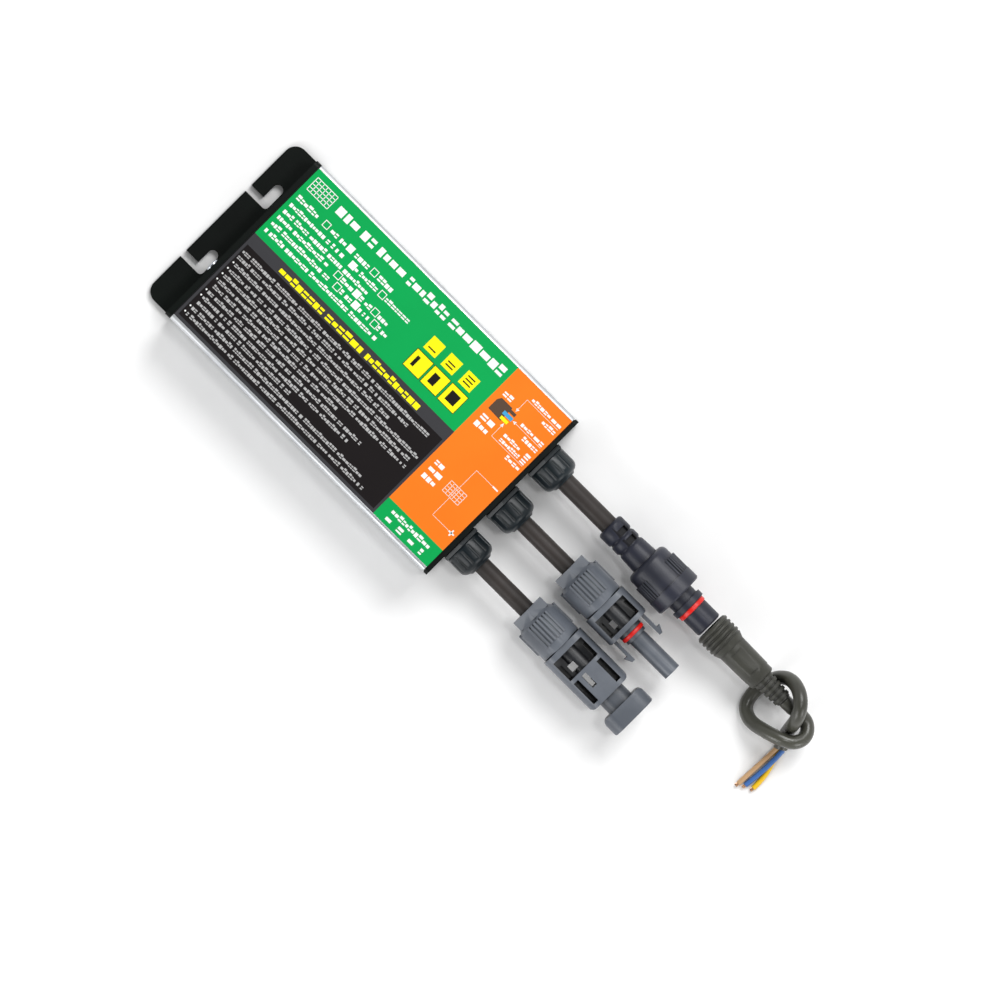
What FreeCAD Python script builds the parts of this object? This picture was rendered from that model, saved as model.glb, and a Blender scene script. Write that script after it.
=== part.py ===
import FreeCAD, Part
import math
import os
from FreeCAD import Vector

# Micro inverter: a flat extruded housing with a hooked mounting flange at the rear,
# three glands at the front, an AC lead with a round plug, two DC leads with panel
# connectors, and a loose pigtail for the AC plug whose cable is tied in a knot.
#
# Frame, in millimetres: +X runs from the flange towards the leads, +Z is up through
# the label, and the origin is on the underside, at the middle of the housing and glands.

# Housing
body_width = 80.0
body_height = 28.0
body_edge_radius = 2.0
housing_front_x = 66.4
housing_length = 132.4
wall = 2.0
screw_channel_radius = 2.8
screw_channel_inset = 6.0
screw_radius = 1.5
screw_head_radius = 2.7
screw_head_depth = 1.3
screw_length = 12.0
side_groove_width = 2.4
side_groove_depth = 0.8
rail_projection = 2.0
rail_height = 1.3
board_level = 8.9
board_thickness = 1.6
board_clearance = 0.3
board_rear_gap = 4.0
tallest_component = 14.0
gasket_thickness = 0.4
gasket_inset = 1.0

# Rear plate and its mounting flange
rear_plate_thickness = 2.2
flange_depth = 12.9
flange_thickness = 2.2
flange_corner_radius = 5.0
slot_width = 4.2
slot_length = 10.7
slot_pitch = 34.6
slot_offset = 1.55
slot_from_edge = 6.3
slot_mouth_width = 3.1
ground_screw_y = -14.9
ground_screw_z = 17.0
ground_head_radius = 2.8
ground_head_height = 1.1
ground_shank_radius = 1.75
ground_washer_radius = 4.4
ground_washer_thickness = 0.4

# Front plate
front_plate_thickness = 1.6

# Label
label_end_gap = 0.4
label_width = 76.2
label_thickness = 0.2
label_recess = 0.15
label_offset_y = 0.35

# Cable glands
gland_pitch = 22.0
gland_middle_y = -1.0
lead_height = 14.0
gland_thread_radius = 6.0
gland_collar_across_flats = 16.0
gland_collar_length = 1.6
gland_washer_radius = 7.7
gland_washer_thickness = 0.4
gland_spigot_radius = 6.4
gland_spigot_length = 6.0
gland_nut_radius = 7.85
gland_nut_length = 10.1
gland_nut_dome_length = 3.7
gland_nut_mouth_radius = 4.9
gland_flute_count = 14
gland_flute_radius = 0.7
locknut_across_flats = 16.0
locknut_thickness = 3.0
seal_length = 5.0
turning_clearance = 0.08

# Leads
ac_lead_diameter = 7.4
dc_lead_diameter = 6.8
lead_tail_x = 57.5
ac_lead_reach = 46.6
dc_lead_reach = 43.0
lead_visible_length = 23.1

# AC plug, measured along X from the end of the boot nearest the gland
boot_length = 18.9
boot_radius = 5.6
boot_groove_radius = 4.9
boot_window_width = 3.9
boot_window_depth = 1.7
boot_window_turn = -25
coupling_nut_length = 18.2
coupling_nut_radius = 9.05
coupling_grip_radius = 9.85
coupling_ring_radius = 10.0
coupling_shoulder_radius = 2.2
coupling_rib_radius = 0.55
coupling_ribs_per_group = 7
coupling_rib_step = 8.0
plug_neck_radius = 5.7
plug_neck_exposed = 3.3
plug_flange_radius = 6.7
plug_flange_length = 2.4
plug_o_ring_radius = 6.0
plug_o_ring_length = 1.9
plug_nose_radius = 5.6
plug_nose_length = 8.2
slip_washer_thickness = 0.7
slip_washer_wall_gap = 0.3
coupling_back_wall = 4.4
contact_circle_radius = 2.6
contact_radius = 0.8

# Pigtail for the AC plug
pigtail_gap = 0.8
thread_radius = 7.1
thread_root_radius = 6.5
thread_pitch = 1.95
thread_crests = 4
socket_clearance = 0.15
socket_taper_length = 2.9
grip_radius = 5.8
grip_tail_radius = 5.4
grip_length = 16.4
relief_length = 11.2
relief_radius = 4.2
relief_tail_radius = 3.5
relief_groove_depth = 0.7
relief_rib_pitch = 2.24
pigtail_diameter = 5.4
wire_diameter = 2.0
strand_diameter = 1.3
strand_length = 1.2

# DC connectors
cap_rear_across_flats = 14.0
cap_rear_length = 3.6
cap_radius = 8.75
cap_rib_depth = 0.5
cap_rib_radius = 0.6
cap_ribs_per_group = 7
cap_rib_step = 10.3
cap_length = 18.6
cap_spigot_radius = 6.6
connector_width = 19.0
connector_height = 15.6
connector_corner_radius = 5.2
minus_front_corner = 1.2
plus_front_corner = 2.0
head_rear_corner = 2.2
head_front_corner = 0.8
window_width = 1.6
window_offset = 6.35
window_web = 1.2
pocket_width = 14.4
pocket_web = 5.6
pocket_start = 2.4
pocket_length = 8.6
core_radius = 4.4
minus_body_length = 12.9
minus_collar_radius = 5.0
minus_collar_length = 1.5
minus_o_ring_length = 1.7
minus_sleeve_radius = 4.5
minus_sleeve_length = 1.3
probe_radius = 3.6
probe_length = 18.7
probe_bore_radius = 2.3
latch_offset = 7.2
latch_thickness = 1.4
latch_height = 5.0
latch_length = 11.5
latch_barb_length = 3.0
latch_barb_reach = 1.4
latch_pivot_radius = 0.95
latch_root_depth = 1.5
plus_body_length = 25.4
plus_neck_width = 11.3
plus_neck_length = 5.4
plus_head_length = 7.2
plus_bore_clearance = 0.12
plus_bore_depth = 22.0
contact_pin_radius = 1.6

# Loose route of the pigtail: an overhand knot. Each point is its distance in X and Y
# from the end of the strain relief, and its height above the floor.
pigtail_route = [
    (0.0, 0.0, 14.0), (4.0, 0.0, 13.6), (8.0, 0.7, 9.0), (12.9, 0.3, 8.2), (16.0, -3.8, 10.4),
    (14.4, -8.6, 12.8), (9.2, -11.2, 13.4), (3.2, -13.2, 10.8), (-3.2, -14.6, 6.0),
    (-8.2, -11.8, 2.7), (-9.7, -5.6, 2.7), (-8.8, -0.2, 4.2), (-7.4, 4.6, 7.6), (-4.0, 7.5, 13.0),
    (0.8, 6.8, 18.2), (5.4, 3.2, 21.2), (8.2, -1.8, 18.8), (9.3, -6.0, 9.6), (10.4, -9.8, 3.9),
    (12.6, -13.4, 2.7),
]

# The three wires leave the knot's end together and spread a little as they run on.
wire_routes = {
    "brown": [(11.6, -14.1, 3.4), (11.5, -20.4, 2.7), (11.2, -27.6, 1.7), (10.9, -34.0, 1.0)],
    "blue": [(13.7, -13.3, 3.6), (14.1, -19.4, 3.5), (13.8, -26.4, 2.0), (13.2, -32.6, 1.0)],
    "yellow": [(12.8, -14.2, 1.2), (14.8, -20.4, 1.0), (16.2, -26.6, 1.1), (16.1, -31.4, 1.0)],
}

# Places that follow from the sizes above
housing_rear_x = housing_front_x - housing_length
front_plate_x = housing_front_x + gasket_thickness
gland_x = front_plate_x + front_plate_thickness
rear_plate_x = housing_rear_x - gasket_thickness - rear_plate_thickness
flange_edge_x = rear_plate_x - flange_depth
gland_end_x = gland_x + gland_washer_thickness + gland_collar_length + gland_nut_length
connector_x = gland_end_x + lead_visible_length
lead_lines = {
    "ac": (gland_middle_y + gland_pitch, ac_lead_diameter / 2),
    "pv_minus": (gland_middle_y, dc_lead_diameter / 2),
    "pv_plus": (gland_middle_y - gland_pitch, dc_lead_diameter / 2),
}
board_top = board_level + board_thickness
ceiling = body_height - wall
whole_turn = 2 * math.pi

parts = {}


# Simple solids

def block(x, y, z):
    """A box between two limits on each axis."""
    return Part.makeBox(x[1] - x[0], y[1] - y[0], z[1] - z[0], Vector(x[0], y[0], z[0]))


def rod(x0, x1, radius, y=0.0, z=0.0):
    """A round bar along X."""
    return Part.makeCylinder(radius, x1 - x0, Vector(x0, y, z), Vector(1, 0, 0))


def post(x, y, z0, z1, radius):
    """A round bar along Z."""
    return Part.makeCylinder(radius, z1 - z0, Vector(x, y, z0), Vector(0, 0, 1))


def sleeve(x0, x1, radius, bore, y=0.0, z=0.0):
    """A round tube along X."""
    return rod(x0, x1, radius, y, z).cut(rod(x0 - 1, x1 + 1, bore, y, z))


def turned(profile, y=0.0, z=0.0):
    """A solid turned about an axis along X, from (x, radius) points that start and end on it."""
    points = [Vector(x, y + r, z) for x, r in profile]
    face = Part.Face(Part.makePolygon(points + points[:1]))
    return face.revolve(Vector(0, y, z), Vector(1, 0, 0), 360)


def prism(x0, x1, across_flats, y=0.0, z=0.0, sides=6):
    """A bar along X with a regular many-sided section."""
    corner_radius = across_flats / 2 / math.cos(math.pi / sides)
    angles = [whole_turn * (i + 0.5) / sides for i in range(sides)]
    points = [Vector(x0, y + corner_radius * math.cos(a), z + corner_radius * math.sin(a)) for a in angles]
    face = Part.Face(Part.makePolygon(points + points[:1]))
    return face.extrude(Vector(x1 - x0, 0, 0))


def rounded_bar(x0, x1, width, height, radius, y=0.0, z=0.0):
    """A bar along X with a rounded rectangular section centred on (y, z)."""
    bar = block((x0, x1), (y - width / 2, y + width / 2), (z - height / 2, z + height / 2))
    long_edges = [e for e in bar.Edges if abs(e.tangentAt(e.FirstParameter).x) > 0.99]
    return bar.makeFillet(min(radius, 0.49 * width, 0.49 * height), long_edges)


def around(count, radius, y, z):
    """Evenly spaced places on a circle about an axis along X."""
    angles = [whole_turn * i / count for i in range(count)]
    return [(y + radius * math.cos(a), z + radius * math.sin(a)) for a in angles]


def in_groups(first, step, per_group, radius, y, z):
    """Places on a circle in three even groups, given the first group's angle and the step between places."""
    places = []
    for middle in (first, first + 120, first + 240):
        for i in range(per_group):
            a = math.radians(middle + (i - (per_group - 1) / 2) * step)
            places.append((y + radius * math.cos(a), z + radius * math.sin(a)))
    return places


def joined(solids):
    """One solid from several that touch or overlap."""
    first, *rest = solids
    return first.fuse(rest).removeSplitter() if rest else first


def group(solids):
    """Separate like pieces kept as one sub-part."""
    return Part.makeCompound(solids)


def swept(points, diameter, name):
    """A round tube along straight runs joined by tangent arcs, and its length."""
    corners = [Vector(*p) for p in points]
    edges = []
    radii = []
    start = corners[0]
    for before, corner, after in zip(corners, corners[1:], corners[2:]):
        run_in = corner - before
        run_out = after - corner
        half_turn = run_in.getAngle(run_out) / 2
        reach = 0.45 * min(run_in.Length, run_out.Length)
        radii.append(reach / math.tan(half_turn))
        towards = run_in.normalize()
        away = run_out.normalize()
        arc_start = corner - towards * reach
        arc_end = corner + away * reach
        bisector = (away - towards).normalize()
        centre = corner + bisector * (radii[-1] / math.cos(half_turn))
        arc_middle = centre - bisector * radii[-1]
        edges.append(Part.LineSegment(start, arc_start).toShape())
        edges.append(Part.Arc(arc_start, arc_middle, arc_end).toShape())
        start = arc_end
    edges.append(Part.LineSegment(start, corners[-1]).toShape())
    path = Part.Wire(edges)
    ring = Part.makeCircle(diameter / 2, corners[0], corners[1] - corners[0])
    tube = path.makePipeShell([Part.Wire(ring)], True, False)
    section = math.pi * diameter ** 2 / 4
    print(name, "length", round(path.Length, 1), "least radius", round(min(radii), 1),
          "volume ratio", round(tube.Volume / (section * path.Length), 3))
    print(name, "radii", [round(r, 1) for r in radii])
    return tube


# Housing and end plates

def section_bar(x0, x1):
    """The housing's outer section, with its label side up."""
    return rounded_bar(x0, x1, body_width, body_height, body_edge_radius, 0, body_height / 2)


def screw_places():
    """The four corner screws, shared by both end plates."""
    y = body_width / 2 - screw_channel_inset
    low = screw_channel_inset
    high = body_height - screw_channel_inset
    return [(y, low), (y, high), (-y, low), (-y, high)]


def cavity(x0, x1):
    """The hollow inside the walls."""
    half = body_width / 2 - wall
    return block((x0, x1), (-half, half), (wall, ceiling))


def housing_extrusion():
    x0 = housing_rear_x
    x1 = housing_front_x
    shell = section_bar(x0, x1).cut(cavity(x0 - 1, x1 + 1))
    inner_wall = body_width / 2 - wall
    extras = []
    for y, z in screw_places():
        reach = screw_channel_inset - wall / 2
        outward = math.copysign(reach, y)
        upward = math.copysign(reach, z - body_height / 2)
        extras.append(rod(x0, x1, screw_channel_radius, y, z))
        extras.append(block((x0, x1), sorted((y, y + outward)), sorted((z, z + upward))))
    for side in (-1, 1):
        for z in (board_level - rail_height, board_top + 0.1):
            across = sorted((side * (inner_wall - rail_projection), side * (inner_wall + wall / 2)))
            extras.append(block((x0, x1), across, (z, z + rail_height)))
    shell = joined([shell] + extras)
    cuts = [rod(x0 - 1, x0 + screw_length, screw_radius, y, z) for y, z in screw_places()]
    cuts += [rod(x1 - screw_length, x1 + 1, screw_radius, y, z) for y, z in screw_places()]
    depth = body_width / 2 - side_groove_depth
    for side in (-1, 1):
        for level in (0.32, 0.5, 0.68):
            middle = body_height * level
            across = sorted((side * depth, side * (depth + 2 * side_groove_depth)))
            height = (middle - side_groove_width / 2, middle + side_groove_width / 2)
            cuts.append(block((x0 - 1, x1 + 1), across, height))
    half_label = label_width / 2
    label_span = (label_offset_y - half_label, label_offset_y + half_label)
    cuts.append(block((x0 - 1, x1 + 1), label_span, (body_height - label_recess, body_height + 1)))
    return shell.cut(cuts)


def hook_slot(middle_y):
    """An L-shaped slot: a leg along Y, with a mouth that opens at the flange's edge."""
    x = flange_edge_x + slot_from_edge
    low = middle_y - slot_length / 2
    high = middle_y + slot_length / 2 - slot_width / 2
    levels = (-1, flange_thickness + 0.5)
    leg = block((x, x + slot_width), (low, high), levels)
    leg = leg.fuse(post(x + slot_width / 2, high, levels[0], levels[1], slot_width / 2))
    mouth = block((flange_edge_x - 1, x + slot_width / 2), (low, low + slot_mouth_width), levels)
    slot = leg.fuse(mouth).removeSplitter()
    corner = [e for e in slot.Edges if upright_at(e, x + slot_width, low)]
    return slot.makeFillet(1.6, corner)


def upright_at(edge, x, y):
    """Whether an edge is vertical and stands at (x, y)."""
    ends = [v.Point for v in edge.Vertexes]
    near = all(abs(p.x - x) < 0.01 and abs(p.y - y) < 0.01 for p in ends)
    return near and len(ends) == 2


def slot_middles():
    return [slot_offset + slot_pitch / 2, slot_offset - slot_pitch / 2]


def rear_end_plate():
    x1 = rear_plate_x + rear_plate_thickness
    upright = section_bar(rear_plate_x, x1)
    flange = block((flange_edge_x, x1 - 0.2), (-body_width / 2, body_width / 2), (0, flange_thickness))
    corners = [e for e in flange.Edges if any(upright_at(e, flange_edge_x, s * body_width / 2) for s in (-1, 1))]
    flange = flange.makeFillet(flange_corner_radius, corners)
    bend = 1.0
    fillet = block((rear_plate_x - bend, rear_plate_x), (-body_width / 2 + 2, body_width / 2 - 2),
                   (flange_thickness, flange_thickness + bend))
    fillet = fillet.cut(Part.makeCylinder(bend, body_width, Vector(rear_plate_x - bend, -body_width / 2,
                                          flange_thickness + bend), Vector(0, 1, 0)))
    plate = joined([upright, flange, fillet])
    cuts = [hook_slot(y) for y in slot_middles()]
    cuts += [rod(rear_plate_x - 1, x1 + 1, screw_radius + 0.2, y, z) for y, z in screw_places()]
    cuts += [countersink(rear_plate_x, -1, screw_radius, y, z) for y, z in screw_places()]
    cuts.append(rod(rear_plate_x - 1, x1 + 1, ground_shank_radius, ground_screw_y, ground_screw_z))
    return plate.cut(cuts)


def front_end_plate():
    plate = section_bar(front_plate_x, gland_x)
    cuts = [rod(front_plate_x - 1, gland_x + 1, gland_thread_radius, y, lead_height) for y, r in lead_lines.values()]
    cuts += [rod(front_plate_x - 1, gland_x + 1, screw_radius + 0.2, y, z) for y, z in screw_places()]
    cuts += [countersink(gland_x, 1, screw_radius, y, z) for y, z in screw_places()]
    return plate.cut(cuts)


def gasket(x0):
    """A flat frame that seals an end plate."""
    x1 = x0 + gasket_thickness
    outside = rounded_bar(x0, x1, body_width - gasket_inset, body_height - gasket_inset,
                          body_edge_radius, 0, body_height / 2)
    frame = outside.cut(cavity(x0 - 1, x1 + 1))
    pads = [rod(x0, x1, screw_channel_radius, y, z) for y, z in screw_places()]
    holes = [rod(x0 - 1, x1 + 1, screw_radius + 0.2, y, z) for y, z in screw_places()]
    return joined([frame] + pads).cut(holes)


def pan_screw(face_x, way, head_radius, head_height, shank_radius, length, y, z):
    """A pan-head screw whose head stands out of a face towards way along X."""
    tip = face_x - way * length
    shank = rod(min(face_x, tip), max(face_x, tip), shank_radius, y, z)
    low = 0.55 * head_height
    profile = [(0, 0), (0, head_radius), (low, head_radius)]
    for step in range(1, 7):
        turn = step / 6 * math.pi / 2
        profile.append((low + (head_height - low) * math.sin(turn), head_radius * (0.45 + 0.55 * math.cos(turn))))
    profile.append((head_height, 0))
    head = turned([(face_x + way * x, r) for x, r in profile], y, z)
    cross = 0.35 * head_radius
    outer = face_x + way * head_height
    inner = outer - way * 0.6 * head_height
    span = (min(inner, outer + way), max(inner, outer + way))
    drive = [block(span, (y - 2 * cross, y + 2 * cross), (z - 0.3, z + 0.3)),
             block(span, (y - 0.3, y + 0.3), (z - 2 * cross, z + 2 * cross))]
    return head.fuse(shank).removeSplitter().cut(drive)


def countersink(face_x, way, tip_radius, y, z):
    """The cone of a flat head, from a face back into the plate behind it."""
    rim = face_x - way * 0.2
    return turned([(face_x, 0), (face_x, screw_head_radius), (rim, screw_head_radius),
                   (face_x - way * screw_head_depth, tip_radius), (face_x - way * screw_head_depth, 0)], y, z)


def flat_screw(face_x, way, y, z):
    """A flat-head screw that lies flush with a face, with a cross recess."""
    tip = face_x - way * screw_length
    shank = rod(min(face_x, tip), max(face_x, tip), screw_radius, y, z)
    cross = 0.6 * screw_head_radius
    span = (face_x - 0.7, face_x + 0.7)
    drive = [block(span, (y - cross, y + cross), (z - 0.3, z + 0.3)),
             block(span, (y - 0.3, y + 0.3), (z - cross, z + cross))]
    return countersink(face_x, way, screw_radius, y, z).fuse(shank).removeSplitter().cut(drive)


def corner_screws(face_x, way):
    return group([flat_screw(face_x, way, y, z) for y, z in screw_places()])


def make_housing():
    parts["housing_extrusion"] = housing_extrusion()
    parts["rear_end_plate"] = rear_end_plate()
    parts["front_end_plate"] = front_end_plate()
    parts["rear_gasket"] = gasket(housing_rear_x - gasket_thickness)
    parts["front_gasket"] = gasket(housing_front_x)
    parts["rear_screws"] = corner_screws(rear_plate_x, -1)
    parts["front_screws"] = corner_screws(gland_x, 1)
    washer_x = rear_plate_x - ground_washer_thickness
    parts["ground_washer"] = sleeve(washer_x, rear_plate_x, ground_washer_radius, ground_shank_radius,
                                    ground_screw_y, ground_screw_z)
    parts["ground_screw"] = pan_screw(washer_x, -1, ground_head_radius, ground_head_height,
                                      ground_shank_radius, 6.0, ground_screw_y, ground_screw_z)
    half_width = label_width / 2
    base = body_height - label_recess
    parts["label_film"] = block((housing_rear_x + label_end_gap, housing_front_x - label_end_gap),
                                (label_offset_y - half_width + 0.05, label_offset_y + half_width - 0.05),
                                (base, base + label_thickness))


# Circuit inside the housing

def on_board(x, y, length, width, height):
    """A part's block on the circuit board, given the middle of its base."""
    return block((x - length / 2, x + length / 2), (y - width / 2, y + width / 2), (board_top, board_top + height))


def make_circuit():
    """Stand-ins for the circuit: some placed from the board's rear edge, some from its front."""
    half = body_width / 2 - wall - board_clearance
    rear = housing_rear_x + board_rear_gap
    front = lead_tail_x - board_clearance
    parts["circuit_board"] = block((rear, front), (-half, half), (board_level, board_top))
    height = min(tallest_component, ceiling - board_top - 1)
    core_x = rear + 44
    core = on_board(core_x, -12, 32, 28, height)
    inside = (board_top + 3, board_top + height - 3)
    window = block((core_x - 10, core_x + 10), (-27, 3), inside)
    limb = block((core_x - 4, core_x + 4), (-26, 2), inside)
    parts["transformer_core"] = core.cut(window).fuse(limb).removeSplitter()
    winding = block((core_x - 9.5, core_x + 9.5), (-24, 0), (inside[0] + 0.4, inside[1] - 0.4))
    parts["transformer_winding"] = winding.cut(block((core_x - 4, core_x + 4), (-30, 4), inside))
    cans = [post(rear + x, 24, board_top, board_top + height, 5.0) for x in (12, 24, 36)]
    parts["bulk_capacitors"] = group(cans)
    parts["film_capacitor"] = on_board(rear + 12, -14, 8, 20, height - 1)
    choke_x = front - 43
    ring = post(choke_x, 22, board_top, board_top + 8, 9.0)
    parts["choke_ring"] = ring.cut(post(choke_x, 22, board_top - 1, board_top + 9, 4.0))
    parts["relay"] = on_board(front - 23, 20, 20, 11, height - 1)
    spreader_x = front - 33
    parts["heat_spreader"] = on_board(spreader_x, -15, 4, 30, height)
    parts["power_transistors"] = group([block((spreader_x + 2, spreader_x + 6.5), (y - 5, y + 5),
                                              (board_top + 1, board_top + 11)) for y in (-25, -14, -3)])
    parts["terminal_block"] = on_board(front - 7, 0, 10, 40, 9)


# Cable glands and leads

def gland_body(y, lead_radius):
    washer_end = gland_x + gland_washer_thickness
    spigot_x = washer_end + gland_collar_length
    pieces = [rod(front_plate_x - locknut_thickness, spigot_x, gland_thread_radius, y, lead_height),
              prism(washer_end, spigot_x, gland_collar_across_flats, y, lead_height),
              rod(spigot_x, spigot_x + gland_spigot_length, gland_spigot_radius, y, lead_height)]
    seal_x = spigot_x + gland_spigot_length - seal_length
    body = joined(pieces)
    passage = rod(front_plate_x - locknut_thickness - 1, seal_x, lead_radius + 0.25, y, lead_height)
    seat = rod(seal_x, seal_x + seal_length + 1, lead_radius + 1.4, y, lead_height)
    return body.cut([passage, seat])


def gland_nut(y, lead_radius):
    """A dome nut with shallow flutes, hollow over the gland's spigot."""
    start = gland_x + gland_washer_thickness + gland_collar_length
    dome = gland_end_x - gland_nut_dome_length
    profile = [(start, 0), (start, gland_nut_radius - 0.3), (start + 0.3, gland_nut_radius), (dome, gland_nut_radius)]
    for step in range(1, 8):
        turn = step / 8 * math.pi / 2
        rise = gland_nut_dome_length * 0.8 * math.sin(turn)
        fall = (gland_nut_radius - gland_nut_mouth_radius) * (1 - math.cos(turn))
        profile.append((dome + rise, gland_nut_radius - fall))
    profile += [(gland_end_x - 0.3, gland_nut_mouth_radius), (gland_end_x, gland_nut_mouth_radius - 0.3),
                (gland_end_x, 0)]
    nut = turned(profile, y, lead_height)
    inner = gland_spigot_radius + turning_clearance
    hollow = rod(start - 1, start + gland_spigot_length + 0.4, inner, y, lead_height)
    mouth = rod(start, gland_end_x + 1, lead_radius + turning_clearance, y, lead_height)
    flutes = [rod(start + 1.2, dome + 1.0, gland_flute_radius, fy, fz)
              for fy, fz in around(gland_flute_count, gland_nut_radius + 0.35 * gland_flute_radius, y, lead_height)]
    return nut.cut([hollow, mouth] + flutes)


def make_glands():
    washers = []
    locknuts = []
    seals = []
    spigot_end = gland_x + gland_washer_thickness + gland_collar_length + gland_spigot_length
    for name, (y, lead_radius) in lead_lines.items():
        parts[name + "_gland_body"] = gland_body(y, lead_radius)
        parts[name + "_gland_nut"] = gland_nut(y, lead_radius)
        washers.append(sleeve(gland_x, gland_x + gland_washer_thickness, gland_washer_radius,
                              gland_thread_radius, y, lead_height))
        locknut = prism(front_plate_x - locknut_thickness, front_plate_x, locknut_across_flats, y, lead_height)
        bore = rod(front_plate_x - locknut_thickness - 1, front_plate_x + 1, gland_thread_radius, y, lead_height)
        locknuts.append(locknut.cut(bore))
        seals.append(sleeve(spigot_end - seal_length, spigot_end, lead_radius + 1.4, lead_radius, y, lead_height))
    parts["gland_washers"] = group(washers)
    parts["gland_locknuts"] = group(locknuts)
    parts["gland_seals"] = group(seals)


def make_leads():
    reach = {"ac": ac_lead_reach, "pv_minus": dc_lead_reach, "pv_plus": dc_lead_reach}
    for name, (y, lead_radius) in lead_lines.items():
        parts[name + "_lead"] = rod(lead_tail_x, gland_end_x + reach[name], lead_radius, y, lead_height)


# AC plug

def plug_boot(y, lead_radius):
    """The moulded boot behind the coupling nut: two beads and a collar, with grooves between."""
    x = connector_x
    r = boot_radius
    groove = boot_groove_radius
    profile = [(x, 0), (x, r - 1.0), (x + 0.3, r - 0.4), (x + 1.0, r)]
    for start, end, bead in ((x + 1.0, x + 6.2, r), (x + 6.6, x + 10.7, r - 0.1)):
        if start > x + 1.0:
            profile += [(start, groove), (start + 0.2, bead - 0.3), (start + 0.8, bead)]
        profile += [(end - 0.8, bead), (end - 0.2, bead - 0.3), (end, groove)]
    profile += [(x + 11.1, groove), (x + 11.3, r - 0.4), (x + 11.9, r - 0.1), (x + 15.0, r + 0.1),
                (x + boot_length, r + 0.3), (x + boot_length, 0)]
    boot = turned(profile, y, lead_height)
    half = boot_window_width / 2
    floor = lead_height + r - boot_window_depth
    notches = []
    for start, length in ((3.7, 2.5), (8.2, 2.5)):
        for turn in (boot_window_turn, boot_window_turn + 180):
            notch = block((x + start, x + start + length), (y - half, y + half), (floor, floor + r))
            notch.rotate(Vector(x, y, lead_height), Vector(1, 0, 0), turn)
            notches.append(notch)
    lead = rod(x - 1, gland_end_x + ac_lead_reach, lead_radius, y, lead_height)
    return boot.cut(notches + [lead])


def plug_body(y, lead_radius):
    """The plug's core: a sleeve under the coupling nut, a flange, and the nose."""
    x = connector_x + boot_length
    flange_x = x + coupling_nut_length + plug_neck_exposed
    ring_x = flange_x + plug_flange_length
    nose_x = ring_x + plug_o_ring_length
    tip = nose_x + plug_nose_length
    profile = [(x, 0), (x, plug_neck_radius), (flange_x, plug_neck_radius), (flange_x, plug_flange_radius),
               (ring_x, plug_flange_radius), (ring_x, plug_nose_radius - 0.6), (nose_x, plug_nose_radius - 0.6),
               (nose_x, plug_nose_radius), (tip - 0.5, plug_nose_radius), (tip, plug_nose_radius - 0.5), (tip, 0)]
    body = turned(profile, y, lead_height)
    cuts = [rod(x - 1, gland_end_x + ac_lead_reach, lead_radius, y, lead_height)]
    cuts += [rod(nose_x, tip + 1, contact_radius + 0.5, cy, cz)
             for cy, cz in around(3, contact_circle_radius, y, lead_height)]
    return body.cut(cuts)


def coupling_nut(y):
    """The ribbed nut that slides forward over the nose and turns onto the pigtail's thread."""
    x = connector_x + boot_length
    grip_x = x + 5.1
    ring_x = x + 12.7
    end = x + coupling_nut_length
    ease = coupling_shoulder_radius
    profile = [(x, 0), (x, coupling_nut_radius - ease)]
    for step in range(1, 7):
        turn = step / 6 * math.pi / 2
        profile.append((x + ease * (1 - math.cos(turn)), coupling_nut_radius - ease * (1 - math.sin(turn))))
    profile += [(grip_x, coupling_nut_radius), (ring_x, coupling_nut_radius + 0.3), (ring_x, coupling_ring_radius),
                (end - 0.6, coupling_ring_radius), (end, coupling_ring_radius - 0.6), (end, 0)]
    nut = turned(profile, y, lead_height)
    reach = coupling_grip_radius - coupling_rib_radius
    places = in_groups(30, coupling_rib_step, coupling_ribs_per_group, reach, y, lead_height)
    ribs = [rod(grip_x, ring_x, coupling_rib_radius, ry, rz) for ry, rz in places]
    back = rod(x - 1, end + 1, plug_neck_radius + turning_clearance + 0.1, y, lead_height)
    inner = thread_radius + 0.25
    hollow = rod(x + coupling_back_wall, end + 1, inner, y, lead_height)
    return joined([nut] + ribs).cut([back, hollow])


def make_ac_plug():
    y, lead_radius = lead_lines["ac"]
    parts["ac_plug_boot"] = plug_boot(y, lead_radius)
    parts["ac_plug_body"] = plug_body(y, lead_radius)
    parts["ac_coupling_nut"] = coupling_nut(y)
    start = connector_x + boot_length
    washer_x = start + coupling_back_wall + 0.05
    parts["ac_slip_washer"] = sleeve(washer_x, washer_x + slip_washer_thickness, thread_radius + 0.25 - slip_washer_wall_gap,
                                     plug_neck_radius + turning_clearance, y, lead_height)
    ring_x = start + coupling_nut_length + plug_neck_exposed + plug_flange_length
    parts["ac_plug_o_ring"] = sleeve(ring_x, ring_x + plug_o_ring_length, plug_o_ring_radius,
                                     plug_nose_radius - 0.6, y, lead_height)
    nose_x = ring_x + plug_o_ring_length
    sockets = [sleeve(nose_x, nose_x + plug_nose_length - 1, contact_radius + 0.5, contact_radius + 0.1, cy, cz)
               for cy, cz in around(3, contact_circle_radius, y, lead_height)]
    parts["ac_plug_contacts"] = group(sockets)


# Pigtail

def socket_face_x():
    nose_tip = (connector_x + boot_length + coupling_nut_length + plug_neck_exposed + plug_flange_length
                + plug_o_ring_length + plug_nose_length)
    return nose_tip + pigtail_gap


def pigtail_socket(y, x, end):
    """The threaded socket that takes the plug's nose."""
    crest = thread_radius
    root = thread_root_radius
    profile = [(x, 0), (x, root)]
    for turn in range(thread_crests):
        place = x + 0.3 + turn * thread_pitch
        profile += [(place, root), (place + 0.45, crest), (place + 1.15, crest), (place + 1.6, root)]
    shoulder = x + 0.3 + thread_crests * thread_pitch
    profile += [(shoulder, root), (shoulder + 0.3, root + 0.3), (end, grip_radius), (end, 0)]
    bore = rod(x - 1, x + plug_nose_length + plug_o_ring_length, plug_nose_radius + socket_clearance, y, lead_height)
    return turned(profile, y, lead_height).cut(bore)


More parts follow.
